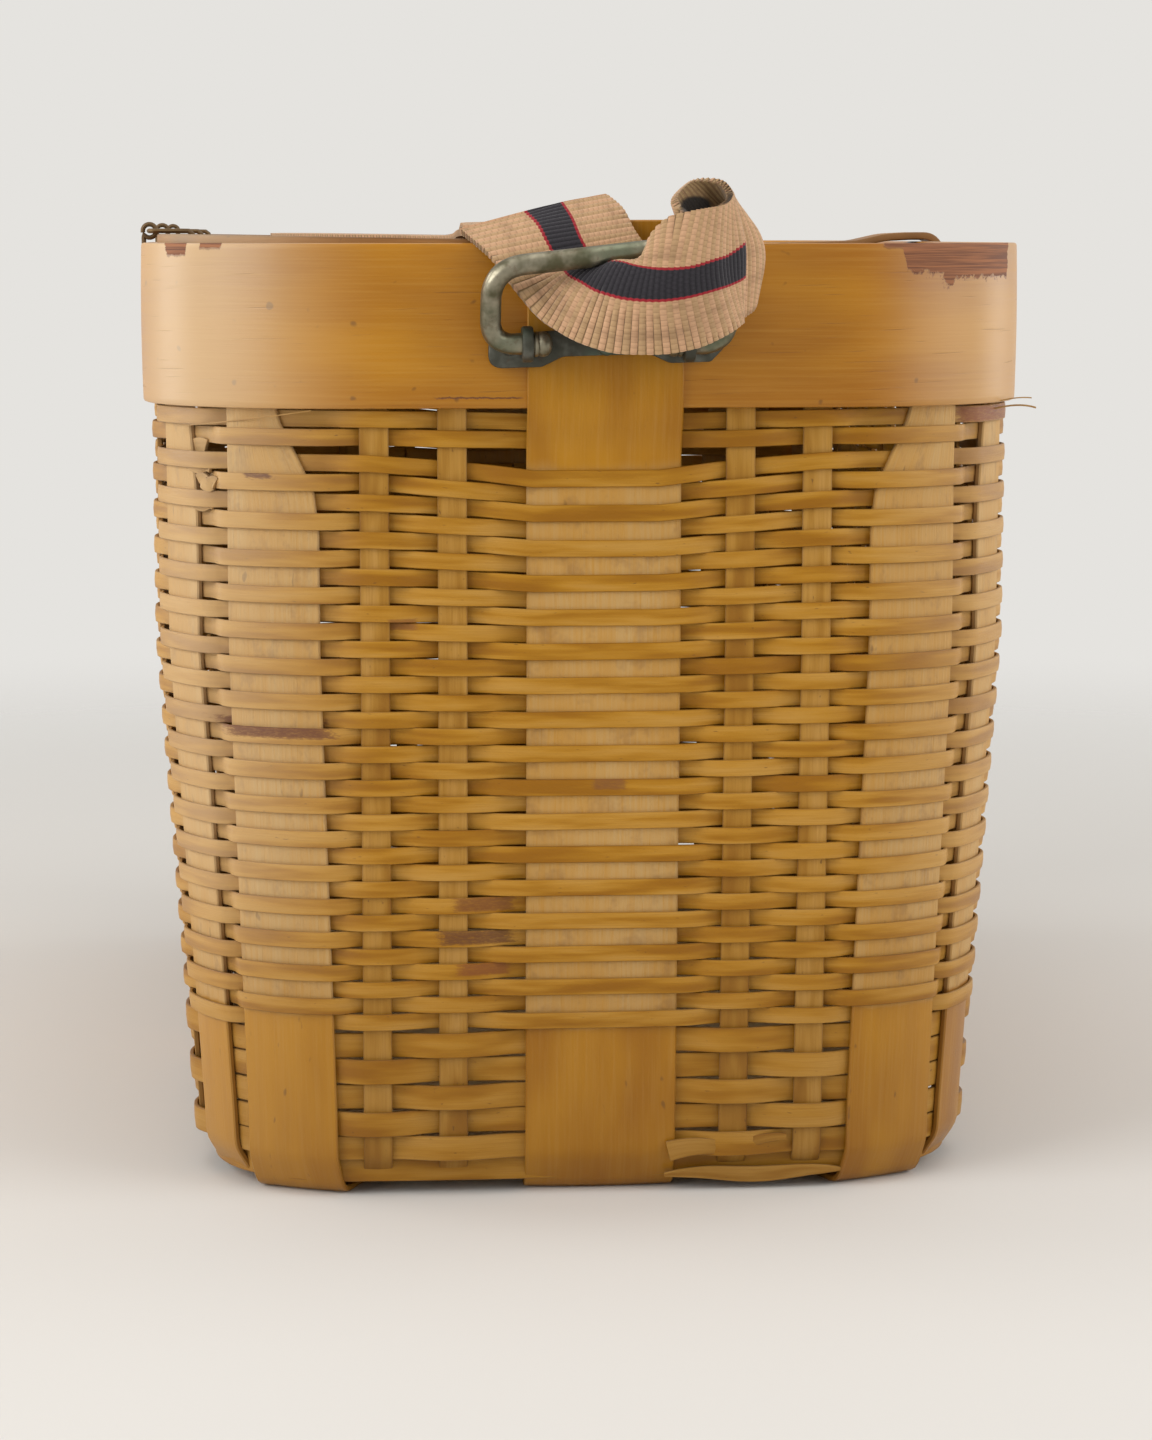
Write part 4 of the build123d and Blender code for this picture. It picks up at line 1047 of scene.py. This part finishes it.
# one edge, the stripe's two edges and the other edge: behind the bar, forward under it, up in front,
# round the bail's side and into a tight turn
hitchStations = [
    ((-26.5, -146.0, 194.7), (-13.7, -145.7, 198.0), (-6.9, -145.5, 200.0), (2.0, -145.0, 201.5)),
    ((-24.1, -150.4, 192.6), (-11.6, -150.3, 195.6), (-5.2, -150.1, 196.8), (4.9, -149.8, 198.7)),
    ((-21.2, -154.5, 189.8), (-10.0, -154.0, 192.1), (-3.9, -153.8, 193.1), (6.7, -153.6, 194.7)),
    ((-17.4, -158.0, 184.6), (-7.5, -156.6, 187.6), (-1.7, -156.2, 189.2), (8.6, -156.2, 191.6)),
    ((-13.0, -162.0, 178.9), (-6.2, -160.4, 186.0), (-1.4, -160.4, 188.5), (9.2, -158.2, 189.4)),
    ((-9.5, -165.0, 176.2), (-4.1, -163.9, 184.9), (-0.1, -163.4, 187.8), (8.8, -160.4, 187.4)),
    ((-6.1, -167.6, 174.2), (-1.8, -167.0, 183.6), (1.6, -166.7, 188.5), (7.8, -163.2, 186.6)),
    ((-2.4, -169.9, 172.8), (0.6, -169.4, 182.8), (3.3, -168.4, 188.4), (7.2, -165.8, 187.0)),
    ((1.2, -171.4, 171.9), (3.0, -171.2, 182.2), (5.2, -169.9, 188.0), (7.8, -167.6, 189.6)),
    ((5.6, -172.4, 171.7), (6.2, -172.6, 181.9), (7.6, -171.3, 187.7), (8.8, -169.2, 194.0)),
    ((10.3, -173.0, 171.8), (9.6, -173.6, 181.9), (10.2, -172.8, 187.5), (11.2, -170.6, 197.0)),
    ((14.4, -173.0, 172.4), (12.6, -173.8, 182.2), (13.0, -173.2, 187.6), (15.0, -171.6, 198.0)),
    ((18.2, -172.5, 173.4), (15.9, -173.4, 182.8), (15.8, -173.0, 188.0), (17.8, -171.9, 198.5)),
    ((23.0, -170.3, 175.6), (20.5, -171.4, 184.0), (20.0, -171.2, 189.3), (21.4, -170.2, 199.2)),
    ((25.6, -167.2, 177.2), (23.3, -168.4, 184.8), (22.8, -168.4, 190.2), (23.8, -167.2, 200.2)),
    ((25.9, -164.6, 177.4), (26.0, -165.4, 186.1), (25.9, -165.2, 192.1), (25.0, -164.0, 201.4)),
    ((26.4, -162.2, 178.2), (26.5, -162.0, 187.9), (26.2, -161.8, 193.3), (25.2, -161.4, 202.6)),
    ((28.6, -159.6, 179.6), (29.6, -159.0, 189.0), (28.6, -158.9, 194.3), (23.7, -159.0, 204.7)),
    ((29.2, -156.8, 181.0), (31.0, -155.8, 190.0), (29.3, -156.0, 195.2), (20.9, -157.6, 205.4)),
    ((26.8, -154.9, 182.2), (28.4, -154.0, 191.2), (26.3, -154.6, 196.0), (17.3, -158.0, 205.2)),
    ((21.8, -156.0, 182.9), (22.4, -157.0, 191.0), (21.2, -158.6, 195.4), (14.5, -160.2, 203.7)),
    ((17.4, -158.0, 183.2), (18.0, -160.5, 190.8), (17.2, -162.0, 194.6), (12.2, -163.4, 201.3)),
    ((14.8, -161.0, 183.6), (15.1, -164.0, 190.6), (15.0, -165.2, 194.0), (12.5, -166.6, 199.3)),
    ((13.4, -163.0, 184.4), (14.5, -166.0, 190.4), (15.2, -167.2, 193.4), (16.0, -168.7, 197.0)),
]
# the turn's upper edge rolls in round a small hole, more and more over three stations
roll = {"hole": Vector((19.0, -164.6, 200.4)), "from": 9, "over": 3, "most": 0.18}
hitchLines = []
for number, (low, stripeLow, stripeHigh, high) in enumerate(hitchStations):
    share = roll["most"] * limited((number - roll["from"]) / roll["over"])
    hitchLines.append(low + stripeLow + stripeHigh + tuple(Vector(high).lerp(roll["hole"], share)))
hitch, length = laySheet("strapHitch", hitchLines, (0.0, 0.39, 0.61, 1.0), 31, strap["step"],
                       strap["ribDepth"], strap["thick"])
dress(hitch, webPaint, None, ["strap_hitch"], 60)
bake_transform(hitch)
# from the fold at the front edge, down to the lid and along it to the rear
runStations = [
    (2.0, -145.0, 201.5, -10.3, -145.6, 199.0, -26.5, -146.0, 194.7),
    (3.4, -138.5, 200.2, -10.6, -139.0, 197.4, -24.8, -139.5, 195.0),
    (3.0, -130.0, 198.0, -11.0, -130.5, 195.8, -25.2, -131.0, 194.6),
    (2.0, -119.0, 195.8, -12.0, -119.5, 195.0, -26.0, -120.0, 194.4),
]
runPlaces = [(-12.0, -119.0), (-15.0, -102.0), (-26.0, -80.0), (-40.0, -57.0), (-48.5, -30.0), (-50.0, 0.0),
             (-50.0, 30.0), (-47.0, 56.0), (-36.0, 82.0), (-22.0, 108.0), (-8.0, 130.0), (-0.5, 145.0)]
runLift = {"onLid": -0.2, "atEdge": 0.9, "middle": 0.15}
for before, (x, y), after in zip(runPlaces, runPlaces[1:], runPlaces[2:] + runPlaces[-1:]):
    way = Vector((after[0] - before[0], after[1] - before[1])).normalized() * strap["width"] / 2
    lift = runLift["atEdge" if after == (x, y) else "onLid"]
    runStations.append(lidPoint(x + way.y, y - way.x, lift) + lidPoint(x, y, lift + runLift["middle"])
                       + lidPoint(x - way.y, y + way.x, lift))
run, length = laySheet("strapRun", runStations, (0.0, 0.5, 1.0), 13, strap["runStep"], strap["runRibDepth"],
                     strap["looseThick"])
dress(run, webPaint, "lid", ["strap_run"], 60)
# round the rear bail's bar and back under itself, in y and z
barOut, barHeight = [start + bail["reach"] * part for start, part in
                     ((bail["out"], sin(bail["lean"])), (bail["height"], cos(bail["lean"])))]
wrap = {"gap": 0.35, "loose": 1.06, "angles": (90, 45, 0, -45, -90, -130), "crown": 0.3,
        "over": [(132.0, 195.9), (140.0, 196.4), (148.0, 196.6), (154.0, 195.8)],
        "under": [(159.2, 190.2), (156.4, 193.2), (152.6, 194.6), (146.5, 194.7)]}
turn = (bail["rod"] + wrap["gap"] + strap["thick"] / 2) * wrap["loose"]
loopLine = wrap["over"] + [(barOut + turn * cos(radians(angle)), barHeight + turn * sin(radians(angle)))
                           for angle in wrap["angles"]] + wrap["under"]
half = strap["width"] / 2
loopStations = [(bail["shift"] + half, y, z, bail["shift"], y, z + wrap["crown"], bail["shift"] - half, y, z)
                for y, z in loopLine]
loop, length = laySheet("strapRearLoop", loopStations, (0.0, 0.5, 1.0), 21, strap["step"], strap["ribDepth"],
                      strap["looseThick"])
dress(loop, webPaint, None, ["strap_rear_loop"], 60)
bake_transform(loop)
print("strap tied")

# broken weaver ends, a torn flap under the base edge and loose fibres
breaks = {"thick": 0.8, "fallen": 6, "fallenIn": 2.2, "inset": 110, "ripple": 0.35,
          # start and end in x and z, half width, distance out from the wall's face, share that it narrows by
          "ends": [((-83.0, 153.2), (-76.5, 152.4), 1.7, -0.6, 0.2),
                   ((-81.5, 149.4), (-75.6, 148.6), 1.8, 0.4, 0.2),
                   ((-78.0, 145.6), (-74.8, 145.2), 1.6, 0.9, 0.2),
                   ((-80.5, 141.6), (-75.2, 141.2), 1.7, 0.2, 0.2),
                   ((16.2, 8.8), (42.0, 11.4), 2.2, 0.9, 0.7)],
          "flap": ((16.0, 3.4), (56.0, 3.6), 1.7, 1.4, None),  # a sliver, narrow at both ends
          # three points and the radius
          "fibres": [((81.0, -128.5, 158.6), (87.0, -129.5, 160.6), (90.6, -131.5, 159.4), 0.2),
                     ((80.0, -130.0, 159.8), (86.0, -131.0, 161.8), (89.6, -132.0, 161.4), 0.14),
                     ((-82.5, -130.5, 156.4), (-72.0, -143.0, 157.6), (-56.0, -149.2, 160.2), 0.12)]}


def wallFront(x, off):
    # how far forward the front end's wall is at x
    inside = abs(x) - endFlat
    if inside <= 0:
        return -wall["halfLength"] - off
    radius = wall["corner"] + off
    return -sideFlat - sqrt(max(1.0, radius ** 2 - inside ** 2))


pieces = []
for (startX, startZ), (endX, endZ), half, off, narrows in breaks["ends"] + [breaks["flap"]]:
    line, faces, halves = [], [], []
    for share in np.linspace(0, 1, 13):
        x = startX + (endX - startX) * share
        z = startZ + (endZ - startZ) * share + breaks["ripple"] * sin(share * 9)
        inward = lean(z) + (breaks["fallenIn"] if z < breaks["fallen"] else 0)
        line.append((x * (1 - inward / breaks["inset"]), wallFront(x, off) + inward, z))
        faces.append((0.6 * x / 80 if abs(x) > endFlat else 0, -1, -0.1))
        width = 0.25 + 0.75 * sin(pi * share) ** 0.8 if narrows is None else 1 - narrows * share
        halves.append(half * width)
    pieces.append(layStrip("brokenEnd", line, faces, halves, breaks["thick"], edge=0.12))
dress(join(pieces, "brokenEnds"), stakePaint, "creel")
threads = []
for start, bend, end, radius in breaks["fibres"]:
    start, bend, end = Vector(start), Vector(bend), Vector(end)
    line = [start.lerp(bend, share).lerp(bend.lerp(end, share), share) for share in np.linspace(0, 1, 17)]
    threads.append(bendRod("thread", line, radius, 8))
dress(join(threads, "looseFibres"), stakePaint, "creel")

studio = {"floor": shade(214, 211, 206), "floorSize": 3.0, "fade": (0.85, 0.3),
          "ambient": shade(228, 226, 223), "strength": 0.6, "backdrop": shade(229, 227, 223)}
floor = addShape("floor", bpy.ops.mesh.primitive_circle_add, vertices=96, radius=studio["floorSize"],
                 fill_type="NGON", location=(0, 0, 0))
floorPaint = newPaint("floor")
x, y = floorPaint.parts(floorPaint.place())[:2]
fromMiddle = ((x * x) + (y * y)) ** 0.5
floor.data.materials.append(floorPaint.coat(Base_Color=studio["floor"], Roughness=0.8,
                                            Alpha=fromMiddle.ramp(*studio["fade"])))
# a plain backdrop for the camera and in gloss and glass, with softer light than it shows
world = bpy.data.worlds.new("studio")
bpy.context.scene.world = world
sky = Paint(world)
glow = sky.node("Background", {}, {"Color": studio["ambient"], "Strength": studio["strength"]})
seen = sky.node("Background", {}, {"Color": studio["backdrop"]})
camera, glossy, glass = [sky.node("LightPath", {}, {}, f"Is {ray} Ray")
                         for ray in ("Camera", "Glossy", "Transmission")]
direct = sky.node("Math", {"operation": "ADD", "use_clamp": True}, {0: camera + glossy, 1: glass})
sky.node("OutputWorld", {}, {"Surface": sky.node("MixShader", {}, {0: direct, 1: glow, 2: seen})})


def softLight(name, place, target, size, power):
    bpy.ops.object.light_add(type="AREA", location=place)
    lamp = bpy.context.object
    lamp.name = name
    lamp.data.shape = "RECTANGLE"
    lamp.data.size, lamp.data.size_y = size
    lamp.data.energy = power
    lamp.rotation_euler = (Vector(target) - Vector(place)).to_track_quat("-Z", "Y").to_euler()


softLight("leftBox", (-0.95, -0.6, 0.55), (0, -0.1, 0.1), (0.8, 0.9), 8.5)
softLight("rightBox", (0.95, -0.55, 0.5), (0, -0.1, 0.1), (0.8, 0.9), 6)
softLight("leftEdge", (-0.8, 0.2, 0.35), (0, -0.1, 0.12), (0.35, 0.6), 1.8)
softLight("rightEdge", (0.8, 0.2, 0.35), (0, -0.1, 0.12), (0.35, 0.6), 1.3)
softLight("topBox", (0, -0.2, 1.3), (0, 0, 0.1), (1.2, 1.2), 5)

view = {"place": (-0.0598, -0.84675, 0.1943), "turn": (radians(82.24), 0, radians(-4.55)),
        "lens": 89.2, "sensor": 36}
bpy.ops.object.camera_add(location=view["place"], rotation=view["turn"])
camera = bpy.context.object
camera.data.sensor_width, camera.data.lens = view["sensor"], view["lens"]
bpy.context.scene.camera = camera
bpy.context.scene.view_settings.view_transform = "Standard"

bpy.context.view_layer.update()
print("scene ready")
